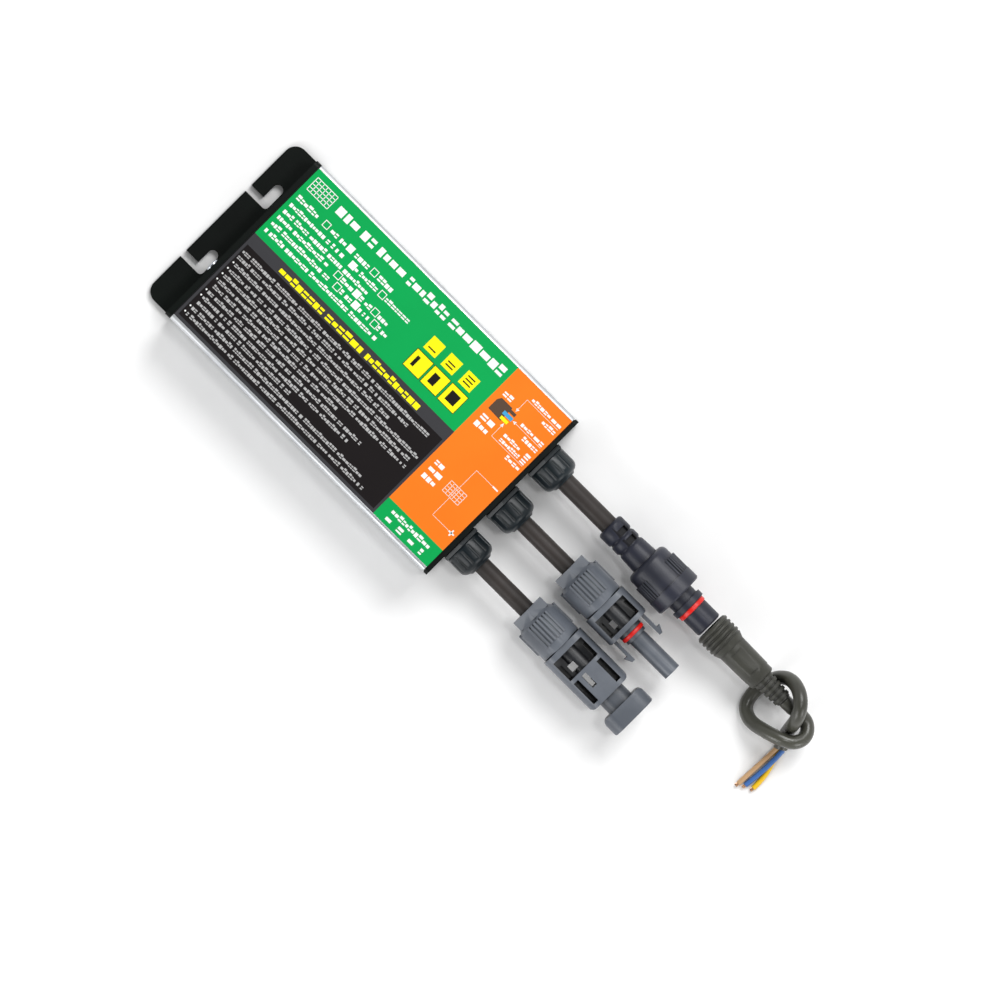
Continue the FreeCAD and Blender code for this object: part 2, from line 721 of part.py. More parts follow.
def pigtail_relief(y, x):
    """The ribbed strain relief, tapering towards the cable."""
    profile = [(x, 0)]
    ribs = round(relief_length / relief_rib_pitch)
    for rib in range(ribs):
        place = x + rib * relief_rib_pitch
        crest = relief_radius + (relief_tail_radius + 0.1 - relief_radius) * rib / (ribs - 1)
        root = max(crest - relief_groove_depth, pigtail_diameter / 2 + 0.35)
        profile += [(place, crest), (place + 0.62 * relief_rib_pitch, crest),
                    (place + 0.62 * relief_rib_pitch, root), (place + relief_rib_pitch, root)]
    profile.append((x + ribs * relief_rib_pitch, 0))
    cable = rod(x - 1, x + relief_length + 1, pigtail_diameter / 2, y, lead_height)
    return turned(profile, y, lead_height).cut(cable)


def make_pigtail():
    y = lead_lines["ac"][0]
    x = socket_face_x()
    grip_x = x + 0.3 + thread_crests * thread_pitch + socket_taper_length
    relief_x = grip_x + grip_length
    exit_x = relief_x + relief_length
    parts["pigtail_socket"] = pigtail_socket(y, x, grip_x)
    grip = turned([(grip_x, 0), (grip_x, grip_radius), (relief_x - 3.2, grip_radius - 0.2),
                   (relief_x - 2.9, grip_tail_radius), (relief_x - 0.5, grip_tail_radius),
                   (relief_x, grip_tail_radius - 0.5), (relief_x, 0)], y, lead_height)
    flat = block((grip_x + 2, relief_x - 4.5), (y - grip_radius, y + grip_radius),
                 (lead_height + grip_radius - 0.6, lead_height + grip_radius + 1))
    tail = rod(relief_x - 4, relief_x + 1, pigtail_diameter / 2, y, lead_height)
    parts["pigtail_grip"] = grip.cut([flat, tail])
    parts["pigtail_relief"] = pigtail_relief(y, relief_x)
    bore_end = x + plug_nose_length + plug_o_ring_length
    pins = [rod(x + 4.4, bore_end, contact_radius, cy, cz)
            for cy, cz in around(3, contact_circle_radius, y, lead_height)]
    parts["pigtail_contacts"] = group(pins)
    route = [(exit_x + dx, y + dy, z) for dx, dy, z in pigtail_route]
    inner_end = rod(relief_x - 4, exit_x, pigtail_diameter / 2, y, lead_height)
    knot = swept(route, pigtail_diameter, "pigtail_cord")
    parts["pigtail_cord"] = joined([inner_end, knot])
    strands = []
    for name, points in wire_routes.items():
        placed = [(exit_x + dx, y + dy, z) for dx, dy, z in points]
        parts["wire_" + name] = swept(placed, wire_diameter, "wire_" + name)
        end = Vector(*placed[-1])
        way = (end - Vector(*placed[-2])).normalize()
        strands.append(Part.makeCylinder(strand_diameter / 2, strand_length, end, way))
    parts["wire_strands"] = group(strands)


# DC connectors

def cap_nut(y, lead_radius):
    """The clamping nut at the rear of a DC connector."""
    x = connector_x + 0.6
    shoulder = x + cap_rear_length
    end = x + cap_length
    profile = [(shoulder, 0), (shoulder, cap_rear_across_flats / 2), (shoulder + 1.6, cap_radius - 0.5),
               (shoulder + 2.4, cap_radius), (end - 0.4, cap_radius), (end, cap_radius - 0.4), (end, 0)]
    cone = turned(profile, y, lead_height)
    hexagon = prism(x, shoulder + 0.5, cap_rear_across_flats, y, lead_height)
    reach = cap_radius + cap_rib_depth - cap_rib_radius
    places = in_groups(90, cap_rib_step, cap_ribs_per_group, reach, y, lead_height)
    ribs = [rod(shoulder + 1.4, end - 3.4, cap_rib_radius, ry, rz) for ry, rz in places]
    hollow = rod(shoulder + 4.2, end + 1, cap_spigot_radius + turning_clearance, y, lead_height)
    passage = rod(x - 1, end + 1, lead_radius + turning_clearance, y, lead_height)
    return joined([cone, hexagon] + ribs).cut([hollow, passage])


def soft_corners(shape, x, y, half, corner):
    """The shape with its two upright corners at one end rounded, seen from above."""
    reach = 30 if x < shape.BoundBox.Center.x else -30
    low, high = lead_height - connector_height, lead_height + connector_height
    slab = block((min(x, x + reach), max(x, x + reach)), (y - half, y + half), (low, high))
    corners = [e for e in slab.Edges if any(upright_at(e, x, y + side * half) for side in (-1, 1))]
    return shape.common(slab.makeFillet(corner, corners))


def connector_shell(x, length, y, corner):
    end = x + length
    bar = rounded_bar(x, end, connector_width, connector_height, connector_corner_radius, y, lead_height)
    return soft_corners(bar, end, y, connector_width / 2, corner)


def body_start():
    """Where a DC connector's body meets its clamping nut, with a hair of clearance."""
    return connector_x + 0.6 + cap_length + 0.1


def spigot(y, lead_radius):
    """The part of a DC connector's body that its nut turns on, bored for the lead."""
    start = body_start() - 8.0
    tube = rod(start, body_start() + 0.5, cap_spigot_radius, y, lead_height)
    return tube, rod(start - 1, gland_end_x + dc_lead_reach, lead_radius, y, lead_height)


def side_windows(x0, x1, y, width, offset):
    """Narrow slots each side of a connector's axis, sunk from both faces to a thin web."""
    low, high = lead_height - connector_height, lead_height + connector_height
    web = window_web / 2
    return [block((x0, x1), (y + side * offset - width / 2, y + side * offset + width / 2), levels)
            for side in (-1, 1) for levels in ((low, lead_height - web), (lead_height + web, high))]


def face_pockets(x0, x1, y):
    """Shallow pockets in a connector's two broad faces, either side of its round core."""
    half = pocket_width / 2
    deep = lead_height + pocket_web / 2
    upper = block((x0, x1), (y - half, y + half), (deep, lead_height + connector_height))
    lower = block((x0, x1), (y - half, y + half), (lead_height - connector_height, lead_height - pocket_web / 2))
    core = rod(x0 - 1, x1 + 1, core_radius, y, lead_height)
    return [upper.cut(core), lower.cut(core)]


def sight_hole(x0, x1, y, near, far):
    """A small slot right through a connector, beside its axis."""
    return block((x0, x1), (y - far, y - near), (lead_height - connector_height, lead_height + connector_height))


def latch_pivot(y, side):
    return Vector(body_start() + minus_body_length - latch_root_depth, y + side * latch_offset, lead_height)


def latch_arm(y, side):
    """A springy arm with a barb, hung on its root inside the connector's front face."""
    pivot = latch_pivot(y, side)
    levels = (lead_height - latch_height / 2, lead_height + latch_height / 2)
    half = latch_thickness / 2
    tip = pivot.x + latch_length
    arm = block((pivot.x, tip), (pivot.y - half, pivot.y + half), levels)
    root = post(pivot.x, pivot.y, levels[0], levels[1], latch_pivot_radius)
    outer = pivot.y + side * half
    barb_points = [Vector(tip, outer - side * half, levels[0]), Vector(tip, outer, levels[0]),
                   Vector(tip - latch_barb_length, outer + side * latch_barb_reach, levels[0]),
                   Vector(tip - latch_barb_length, outer - side * half, levels[0])]
    barb = Part.Face(Part.makePolygon(barb_points + barb_points[:1])).extrude(Vector(0, 0, latch_height))
    return joined([arm, root, barb])


def latch_pocket(y, side):
    """Room in the connector's front face for a latch arm's root to turn."""
    pivot = latch_pivot(y, side)
    gap = 0.1
    levels = (lead_height - latch_height / 2 - gap, lead_height + latch_height / 2 + gap)
    socket = post(pivot.x, pivot.y, levels[0], levels[1], latch_pivot_radius + 0.06)
    half = latch_thickness / 2 + 0.35
    mouth = block((pivot.x, pivot.x + 3), (pivot.y - half, pivot.y + half), levels)
    return [socket, mouth]


def make_minus_connector():
    y, lead_radius = lead_lines["pv_minus"]
    x = body_start()
    face = x + minus_body_length
    ring_x = face + minus_collar_length
    sleeve_x = ring_x + minus_o_ring_length
    probe_x = sleeve_x + minus_sleeve_length
    tube, lead = spigot(y, lead_radius)
    front = [rod(face - 1, ring_x, minus_collar_radius, y, lead_height),
             rod(face - 1, sleeve_x, minus_sleeve_radius - 0.5, y, lead_height),
             rod(sleeve_x, probe_x, minus_sleeve_radius, y, lead_height),
             rod(probe_x - 1, probe_x + probe_length, probe_radius, y, lead_height)]
    body = joined([connector_shell(x, minus_body_length, y, minus_front_corner), tube] + front)
    cuts = [lead, rod(x + 3.5, probe_x + probe_length + 1, probe_bore_radius, y, lead_height)]
    cuts += side_windows(x + 4.5, x + 10.7, y, window_width, window_offset)
    cuts += face_pockets(x + pocket_start, x + pocket_start + pocket_length, y)
    cuts.append(sight_hole(x + 6.4, x + 9.7, y, 2.0, 4.0))
    cuts += latch_pocket(y, 1) + latch_pocket(y, -1)
    parts["pv_minus_nut"] = cap_nut(y, lead_radius)
    parts["pv_minus_body"] = body.cut(cuts)
    parts["pv_minus_latch_left"] = latch_arm(y, 1)
    parts["pv_minus_latch_right"] = latch_arm(y, -1)
    parts["pv_minus_o_ring"] = sleeve(ring_x, sleeve_x, minus_collar_radius + 0.05, minus_sleeve_radius - 0.5,
                                      y, lead_height)
    parts["pv_minus_contact"] = sleeve(x + 10.6, probe_x + probe_length - 1.5, probe_bore_radius,
                                       contact_pin_radius - 0.3, y, lead_height)


def make_plus_connector():
    y, lead_radius = lead_lines["pv_plus"]
    x = body_start()
    shell_end = x + plus_body_length
    neck_end = shell_end + plus_neck_length
    end = neck_end + plus_head_length
    tube, lead = spigot(y, lead_radius)
    shell = connector_shell(x, plus_body_length, y, plus_front_corner)
    neck = rounded_bar(shell_end - 1, neck_end, plus_neck_width, plus_neck_width, 4.5, y, lead_height)
    bore = rod(end - plus_bore_depth, end + 1, probe_radius + plus_bore_clearance, y, lead_height)
    cuts = [lead, bore] + side_windows(x + 5.0, x + 11.2, y, window_width, window_offset)
    cuts += side_windows(x + 13.0, x + 23.6, y, window_width + 0.7, window_offset - 0.4)
    cuts += face_pockets(x + pocket_start, x + pocket_start + pocket_length + 0.4, y)
    cuts.append(sight_hole(x + 6.8, x + 9.9, y, 1.2, 4.3))
    cuts.append(sight_hole(x + 13.0, x + 19.0, y, 0.9, 3.0))
    parts["pv_plus_nut"] = cap_nut(y, lead_radius)
    parts["pv_plus_body"] = joined([shell, neck, tube]).cut(cuts)
    head = rounded_bar(neck_end, end, connector_width + 0.3, connector_height, connector_corner_radius, y, lead_height)
    head_half = connector_width / 2 + 0.15
    head = soft_corners(head, neck_end, y, head_half, head_rear_corner)
    head = soft_corners(head, end, y, head_half, head_front_corner)
    parts["pv_plus_head"] = head.cut(bore)
    pin_x = end - plus_bore_depth
    parts["pv_plus_contact"] = rod(pin_x, pin_x + 9.0, contact_pin_radius - 0.35, y, lead_height)


make_housing()
make_circuit()
make_glands()
make_leads()
make_ac_plug()
make_pigtail()
make_minus_connector()
make_plus_connector()

os.makedirs("parts", exist_ok=True)
for node, shape in parts.items():
    shape.exportStep("parts/" + node + ".step")
    if not shape.isValid():
        print("not valid:", node)
print(len(parts), "sub-parts")
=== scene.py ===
import bmesh
import bpy
import math
from mathutils import Matrix, Vector


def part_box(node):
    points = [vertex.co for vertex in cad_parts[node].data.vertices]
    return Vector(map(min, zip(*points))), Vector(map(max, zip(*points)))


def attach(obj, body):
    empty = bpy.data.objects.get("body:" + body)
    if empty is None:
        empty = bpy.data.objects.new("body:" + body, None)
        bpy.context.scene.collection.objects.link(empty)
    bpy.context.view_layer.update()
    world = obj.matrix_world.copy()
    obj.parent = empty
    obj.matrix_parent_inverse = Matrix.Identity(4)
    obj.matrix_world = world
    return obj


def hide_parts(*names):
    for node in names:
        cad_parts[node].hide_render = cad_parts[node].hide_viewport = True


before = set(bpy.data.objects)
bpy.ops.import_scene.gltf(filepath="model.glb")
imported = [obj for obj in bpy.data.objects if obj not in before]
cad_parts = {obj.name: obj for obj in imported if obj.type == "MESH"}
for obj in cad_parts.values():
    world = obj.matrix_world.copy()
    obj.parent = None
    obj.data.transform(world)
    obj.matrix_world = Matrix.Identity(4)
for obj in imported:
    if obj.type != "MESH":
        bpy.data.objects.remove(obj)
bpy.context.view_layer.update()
mm = 0.001
root = "inverter"
print("frame loaded:", len(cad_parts), "nodes")


# small tools

def colour(r, g, b):
    # screen values 0 to 255, turned into the linear ones that shaders use
    return tuple((c / 255 / 12.92 if c <= 10 else ((c / 255 + 0.055) / 1.055) ** 2.4) for c in (r, g,
        b)) + (1.0,)


def addNode(tree, kind, inputs=None, **settings):
    node = tree.nodes.new(kind)
    for key, value in settings.items():
        setattr(node, key, value)
    for key, value in (inputs or {}).items():
        if isinstance(value, bpy.types.NodeSocket):
            tree.links.new(value, node.inputs[key])
        else:
            node.inputs[key].default_value = value
    return node


def newTree(name, kind, inputs, outputs):
    tree = bpy.data.node_groups.new(name, kind)
    for label, socketType, value in inputs:
        socket = tree.interface.new_socket(label, in_out="INPUT", socket_type=socketType)
        if value is not None:
            socket.default_value = value
    for label, socketType in outputs:
        tree.interface.new_socket(label, in_out="OUTPUT", socket_type=socketType)
    return tree, addNode(tree, "NodeGroupInput").outputs, addNode(tree, "NodeGroupOutput")


def smooth(piece, angle=32):
    mesh = piece.data
    mesh.polygons.foreach_set("use_smooth", [True] * len(mesh.polygons))
    mesh.set_sharp_from_angle(angle=math.radians(angle))
    return piece


def place(piece, body, nodes=()):
    # every piece rides on a body, and may stand for CAD nodes
    if nodes:
        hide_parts(*nodes)
    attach(piece, body)
    return piece


def link(name, data):
    piece = bpy.data.objects.new(name, data)
    bpy.context.scene.collection.objects.link(piece)
    return piece


def fromBmesh(name, bm, material, angle=32):
    mesh = bpy.data.meshes.new(name)
    bm.to_mesh(mesh)
    bm.free()
    mesh.materials.append(material)
    return smooth(link(name, mesh), angle)


def settled(piece):
    # modifiers are worked out once, and the piece keeps their result as its mesh
    bpy.context.view_layer.update()
    graph = bpy.context.evaluated_depsgraph_get()
    mesh = bpy.data.meshes.new_from_object(piece.evaluated_get(graph), depsgraph=graph)
    piece.modifiers.clear()
    old = piece.data
    piece.data = mesh
    if isinstance(old, bpy.types.Mesh):
        bpy.data.meshes.remove(old)
    mesh.name = piece.name
    return piece


def grow(name, tree, values, base=None, angle=32):
    # a piece made by Geometry Nodes and kept as a plain mesh
    piece = link(name, base or bpy.data.meshes.new(name + "Base"))
    modifier = piece.modifiers.new("grow", "NODES")
    modifier.node_group = tree
    for item in tree.interface.items_tree:
        if item.item_type == "SOCKET" and item.in_out == "INPUT" and item.name in values:
            modifier[item.identifier] = values[item.name]
    return smooth(settled(piece), angle)


def refined(node, material, bevel=0.0, angle=30, name=None, segments=2):
    # a merged, smooth-shaded copy of a CAD node, with its sharp edges eased
    bm = bmesh.new()
    bm.from_mesh(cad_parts[node].data)
    bmesh.ops.remove_doubles(bm, verts=bm.verts, dist=0.002 * mm)
    bmesh.ops.dissolve_limit(bm, angle_limit=math.radians(0.7), verts=bm.verts, edges=bm.edges)
    piece = fromBmesh(name or node + "Skin", bm, material, angle)
    if bevel:
        ease = piece.modifiers.new("ease", "BEVEL")
        ease.width = bevel * mm
        ease.segments = segments
        ease.limit_method = "ANGLE"
        ease.angle_limit = math.radians(40)
        ease.harden_normals = True
        settled(piece)
    return piece


def paintRecessShade(piece, material, boxes):
    # faces whose middle lies inside a box, in millimetres, take a second, darker material: painted shade in
    # recesses
    piece.data.materials.append(material)
    inside = len(piece.data.materials) - 1
    for face in piece.data.polygons:
        for low, high in boxes:
            if all(a * mm < c < b * mm for a, c, b in zip(low, face.center, high)):
                face.material_index = inside
    return piece


# materials

def makeSkinGroup():
    # moulded, printed or painted surface: soft mottle, fine grain and uneven gloss, and painted shade that
    # darkens the colour where an ambient occlusion node finds other surfaces near
    inputs = [("Colour", "NodeSocketColor", None), ("Shade", "NodeSocketColor", None),
              ("Mottle Scale", "NodeSocketFloat", 60.0), ("Grain Scale", "NodeSocketFloat", 1500.0),
              ("Grain Height", "NodeSocketFloat", 0.00002), ("Rough Low", "NodeSocketFloat", 0.35),
              ("Rough High", "NodeSocketFloat", 0.5), ("Cavity Reach", "NodeSocketFloat", 0.003),
              ("Cavity Shade", "NodeSocketFloat", 0.5)]
    outputs = [("Colour", "NodeSocketColor"), ("Roughness", "NodeSocketFloat"),
               ("Normal", "NodeSocketVector")]
    tree, given, result = newTree("mouldedSkin", "ShaderNodeTree", inputs, outputs)
    where = addNode(tree, "ShaderNodeTexCoord").outputs["Object"]
    mottle = addNode(tree, "ShaderNodeTexNoise",
                     {"Vector": where, "Scale": given["Mottle Scale"], "Detail": 4.0})
    grain = addNode(tree, "ShaderNodeTexNoise",
                    {"Vector": where, "Scale": given["Grain Scale"], "Detail": 2.0})
    spread = addNode(tree, "ShaderNodeMapRange",
                     {"Value": mottle.outputs["Fac"], "From Min": 0.35, "From Max": 0.65})
    mix = addNode(tree, "ShaderNodeMix", {"Factor": spread.outputs["Result"]}, data_type="RGBA")
    tree.links.new(given["Colour"], mix.inputs[6])
    tree.links.new(given["Shade"], mix.inputs[7])
    gloss = addNode(tree, "ShaderNodeMapRange",
                    {"Value": mottle.outputs["Fac"], "From Min": 0.3, "From Max": 0.7,
                                                  "To Min": given["Rough Low"],
                                                  "To Max": given["Rough High"]})
    bump = addNode(tree, "ShaderNodeBump",
                   {"Height": grain.outputs["Fac"], "Distance": given["Grain Height"]})
    # painted shade: the colour is scaled down in hollows, creases and beside other parts, down to the darkest
    # factor
    paintedShade = addNode(tree, "ShaderNodeAmbientOcclusion", {"Distance": given["Cavity Reach"]}, samples=6)
    paintedShadeFactor = addNode(tree, "ShaderNodeMapRange",
                    {"Value": paintedShade.outputs["AO"], "From Min": 0.25, "From Max": 0.9,
                                                  "To Min": given["Cavity Shade"], "To Max": 1.0})
    paintedShadeColour = addNode(tree, "ShaderNodeVectorMath", {"Scale": paintedShadeFactor.outputs["Result"]}, operation="SCALE")
    tree.links.new(mix.outputs[2], paintedShadeColour.inputs[0])
    tree.links.new(paintedShadeColour.outputs["Vector"], result.inputs["Colour"])
    tree.links.new(gloss.outputs["Result"], result.inputs["Roughness"])
    tree.links.new(bump.outputs["Normal"], result.inputs["Normal"])
    return tree


def makeBrushGroup():
    # long fine draw lines along X, as an extrusion die or a brush leaves them
    inputs = [("Colour", "NodeSocketColor", None), ("Shade", "NodeSocketColor", None),
              ("Line Scale", "NodeSocketFloat", 2600.0), ("Line Height", "NodeSocketFloat", 0.00001),
              ("Rough Low", "NodeSocketFloat", 0.28), ("Rough High", "NodeSocketFloat", 0.45)]
    outputs = [("Colour", "NodeSocketColor"), ("Roughness", "NodeSocketFloat"),
               ("Normal", "NodeSocketVector")]
    tree, given, result = newTree("drawnMetal", "ShaderNodeTree", inputs, outputs)
    where = addNode(tree, "ShaderNodeTexCoord").outputs["Object"]
    along = addNode(tree, "ShaderNodeMapping", {"Vector": where, "Scale": (0.02, 1.0, 1.0)})
    lines = addNode(tree, "ShaderNodeTexNoise",
                    {"Vector": along.outputs["Vector"], "Scale": given["Line Scale"],
                                                 "Detail": 3.0})
    cloud = addNode(tree, "ShaderNodeTexNoise", {"Vector": where, "Scale": 45.0, "Detail": 3.0})
    both = addNode(tree, "ShaderNodeMath", {0: lines.outputs["Fac"], 1: cloud.outputs["Fac"]},
                   operation="MULTIPLY")
    spread = addNode(tree, "ShaderNodeMapRange",
                     {"Value": both.outputs["Value"], "From Min": 0.15, "From Max": 0.35})
    mix = addNode(tree, "ShaderNodeMix", {"Factor": spread.outputs["Result"]}, data_type="RGBA")
    tree.links.new(given["Colour"], mix.inputs[6])
    tree.links.new(given["Shade"], mix.inputs[7])
    gloss = addNode(tree, "ShaderNodeMapRange",
                    {"Value": lines.outputs["Fac"], "From Min": 0.3, "From Max": 0.7,
                                                  "To Min": given["Rough Low"],
                                                  "To Max": given["Rough High"]})
    bump = addNode(tree, "ShaderNodeBump", {"Height": lines.outputs["Fac"], "Distance": given["Line Height"]})
    tree.links.new(mix.outputs[2], result.inputs["Colour"])
    tree.links.new(gloss.outputs["Result"], result.inputs["Roughness"])
    tree.links.new(bump.outputs["Normal"], result.inputs["Normal"])
    return tree


skinGroup = makeSkinGroup()
brushGroup = makeBrushGroup()


def finish(name, group, values, **shader):
    # one Principled shader fed by a surface group; fixed numbers sit on its own sockets
    material = bpy.data.materials.new(name)
    material.use_nodes = True
    tree = material.node_tree
    main = tree.nodes["Principled BSDF"]
    surface = addNode(tree, "ShaderNodeGroup", node_tree=group)
    for label, value in values.items():
        surface.inputs[label].default_value = value
    tree.links.new(surface.outputs["Colour"], main.inputs["Base Color"])
    tree.links.new(surface.outputs["Roughness"], main.inputs["Roughness"])
    tree.links.new(surface.outputs["Normal"], main.inputs["Normal"])
    for label, value in shader.items():
        main.inputs[label.replace("_", " ")].default_value = value
    return material


# every moulded material paints shade into its colour: a pair gives the reach in metres and the darkest factor
# of this painted shade, 3 mm and 0.6 unless set
def moulded(name, base, shade, grain=1500.0, height=0.00002, low=0.35, high=0.5, mottle=60.0,
            paintedShade=(0.003, 0.6),
            specular=0.35, **shader):
    values = {"Colour": colour(*base), "Shade": colour(*shade), "Grain Scale": grain, "Grain Height": height,
              "Rough Low": low, "Rough High": high, "Mottle Scale": mottle, "Cavity Reach": paintedShade[0],
              "Cavity Shade": paintedShade[1]}
    return finish(name, skinGroup, values, Specular_IOR_Level=specular, **shader)


def drawn(name, base, shade, lines=2600.0, height=0.00001, low=0.28, high=0.45, **shader):
    values = {"Colour": colour(*base), "Shade": colour(*shade), "Line Scale": lines, "Line Height": height,
              "Rough Low": low, "Rough High": high}
    return finish(name, brushGroup, values, Metallic=1.0, **shader)


anodised = drawn("anodisedAluminium", (200, 202, 204), (178, 181, 184), low=0.42, high=0.56)
blackCoat = moulded("blackPowderCoat", (9, 15, 12), (5, 9, 7), 2600.0, 0.00004, 0.42, 0.55, specular=0.12)
sealRubber = moulded("blackSealRubber", (20, 20, 21), (12, 12, 13), low=0.6, high=0.8, specular=0.2)
glandNylon = moulded("glandNylon", (24, 33, 38), (16, 23, 27), 1900.0, 0.00003, 0.28, 0.38,
                     paintedShade=(0.002, 0.4), specular=0.3)
leadSheath = moulded("leadSheath", (56, 51, 49), (45, 41, 39), 1200.0, 0.00003, 0.42, 0.55,
                     paintedShade=(0.004, 0.25),
                     specular=0.2)
plugNylon = moulded("plugNylon", (42, 44, 56), (31, 33, 43), 1900.0, 0.00003, 0.34, 0.46, paintedShade=(0.003, 0.3),
                    specular=0.3)
# connectorNylon: strong painted shade with a 12 mm reach, darkening its pockets and windows
connectorNylon = moulded("connectorNylon", (96, 101, 109), (78, 83, 91), 2100.0, 0.00003, 0.32, 0.44,
                         paintedShade=(0.012, 0.1), specular=0.4)
# dark copy of the connector nylon: painted shade for the hollow middle of the DC connectors
recessPaintedShade = moulded("recessPaintedShade", (34, 36, 40), (27, 29, 33), 2100.0, 0.00001, 0.34, 0.44,
                      paintedShade=(0.006, 0.2),
                      specular=0.4)
# capNylon and couplingNylon: copies of connectorNylon and plugNylon with deep, short-reach painted shade
# between the nut ribs
capNylon = moulded("capNylon", (100, 105, 113), (82, 87, 95), 2100.0, 0.00003, 0.3, 0.42,
                   paintedShade=(0.0022, 0.04),
                   specular=0.4)
couplingNylon = moulded("couplingNylon", (44, 46, 58), (33, 35, 45), 1900.0, 0.00003, 0.32, 0.44,
                        paintedShade=(0.0022, 0.08),
                        specular=0.35)
# near-black copy of the plug nylon: painted shade for the notches in the AC plug's boot
notchPaintedShade = moulded("notchPaintedShade", (20, 20, 26), (15, 15, 20), 1900.0, 0.00001, 0.45, 0.55, specular=0.2)
pigtailNylon = moulded("pigtailNylon", (64, 64, 58), (50, 50, 45), 1900.0, 0.00003, 0.36, 0.48,
                       paintedShade=(0.003, 0.2),
                       specular=0.3)
pigtailSheath = moulded("pigtailSheath", (70, 70, 62), (54, 54, 47), 1300.0, 0.00003, 0.26, 0.36,
                        paintedShade=(0.004, 0.25),
                        specular=0.55)
redSilicone = moulded("redSilicone", (228, 34, 24), (200, 22, 16), low=0.28, high=0.4, paintedShade=(0.001, 0.6))
contactTin = drawn("contactTin", (196, 190, 172), (160, 152, 132), low=0.25, high=0.4)
bareCopper = drawn("bareCopper", (226, 186, 150), (196, 150, 116), low=0.25, high=0.4)
tanWire = moulded("tanWire", (196, 160, 120), (176, 140, 101), low=0.3, high=0.42)
blueWire = moulded("blueWire", (72, 116, 180), (56, 98, 162), low=0.3, high=0.42)
yellowWire = moulded("yellowWire", (240, 196, 28), (224, 178, 18), low=0.3, high=0.42)
zincSteel = drawn("zincSteel", (214, 219, 226), (178, 184, 192), low=0.18, high=0.32)
blackSteel = moulded("blackOxideSteel", (30, 31, 33), (18, 19, 20), low=0.3, high=0.45, Metallic=0.8)
boardResist = moulded("boardResist", (12, 82, 42), (8, 62, 32), low=0.3, high=0.4)
ferrite = moulded("ferrite", (44, 44, 47), (34, 34, 37), low=0.5, high=0.65)
enamelCopper = drawn("enamelCopper", (176, 92, 44), (140, 68, 30))
canSleeve = moulded("canSleeve", (40, 46, 66), (30, 34, 50), low=0.25, high=0.35)
partCase = moulded("partCase", (30, 30, 33), (22, 22, 25), low=0.4, high=0.55)


def printed(name, base, shade):
    # gloss film or ink: hardly any relief, a very even colour, with a faint painted shade beside the raised
    # edges of the ink
    return moulded(name, base, shade, 2400.0, 0.000004, 0.4, 0.48, 30.0, (0.0004, 0.9), 0.12)


filmGreen = printed("labelGreen", (0, 160, 78), (0, 155, 75))
filmOrange = printed("labelOrange", (238, 121, 28), (234, 116, 25))
filmBlack = printed("labelBlack", (24, 20, 21), (21, 17, 18))
filmGrey = printed("labelGrey", (58, 58, 61), (54, 54, 57))
inkWhite = printed("inkWhite", (236, 238, 236), (228, 231, 228))
inkPale = printed("inkPale", (176, 176, 176), (166, 166, 166))
inkYellow = printed("inkYellow", (246, 236, 20), (240, 229, 16))
inkDark = printed("inkDark", (24, 21, 18), (20, 17, 15))
inkBrown = printed("inkBrown", (84, 66, 54), (74, 58, 47))
inkBlue = printed("inkBlue", (66, 156, 206), (58, 146, 196))
# the floor takes the default painted shade: a painted contact shadow within 3 mm of the parts resting on it
floorPaint = moulded("floorPaint", (250, 250, 250), (248, 248, 248), 300.0, 0.00001, 0.7, 0.8)
print("materials made")


# camera, floor and light

studio = {"target": (65.5, -1.06, 14.0), "frameWidth": 369.4, "lens": 180.0, "sensor": 36.0,
          "horizon": 0.8, "zenith": 0.12, "floorHalf": 3.0, "floorDrop": 0.0002, "aim": (0.065, 0, 0.01),
          "nearClip": 0.05, "farClip": 20}
# each lamp's place, disc size and power
lamps = {"keyLight": ((-0.1, 0.95, 1.15), 0.8, 14.0), "lowLight": ((0.1, -1.2, 0.75), 0.8, 7.0),
         "cableLight": ((1.3, 0.0, 0.6), 0.6, 4.0), "topLight": ((0.35, 0.35, 1.9), 0.25, 5.0)}


def addCamera():
    data = bpy.data.cameras.new("camera")
    data.lens = studio["lens"]
    data.sensor_width = studio["sensor"]
    data.clip_start = studio["nearClip"]
    data.clip_end = studio["farClip"]
    camera = link("camera", data)
    height = studio["frameWidth"] * studio["lens"] / studio["sensor"]
    x, y, z = studio["target"]
    camera.location = (x * mm, y * mm, (z + height) * mm)
    camera.rotation_euler = (0, 0, math.radians(45))
    bpy.context.scene.camera = camera


def addLight(name, location, size, power):
    data = bpy.data.lights.new(name, "AREA")
    data.shape = "DISK"
    data.size = size
    data.energy = power
    lamp = link(name, data)
    lamp.location = location
    aim = Vector(studio["aim"]) - Vector(location)
    lamp.rotation_euler = aim.to_track_quat("-Z", "Y").to_euler()


def addStudio():
    addCamera()
    mesh = bpy.data.meshes.new("studioFloor")
    half = studio["floorHalf"]
    mesh.from_pydata([(-half, -half, 0), (half, -half, 0), (half, half, 0), (-half, half, 0)], [],
                     [(0, 1, 2, 3)])
    mesh.materials.append(floorPaint)
    floor = link("studioFloor", mesh)
    floor.location.z = -studio["floorDrop"]
    world = bpy.data.worlds.new("studioWorld")
    world.use_nodes = True
    tree = world.node_tree
    where = addNode(tree, "ShaderNodeTexCoord").outputs["Generated"]
    height = addNode(tree, "ShaderNodeSeparateXYZ", {"Vector": where}).outputs["Z"]
    glow = addNode(tree, "ShaderNodeMapRange", {"Value": height, "From Min": 0.35, "From Max": 0.95,
                                                 "To Min": studio["horizon"], "To Max": studio["zenith"]})
    tree.links.new(glow.outputs["Result"], tree.nodes["Background"].inputs["Strength"])
    tree.nodes["Background"].inputs["Color"].default_value = (1, 1, 1, 1)
    bpy.context.scene.world = world
    for name, (location, size, power) in lamps.items():
        addLight(name, location, size, power)
    bpy.context.scene.view_settings.view_transform = "Standard"


addStudio()
print("camera, floor and lights set")


# leads and pigtail cable

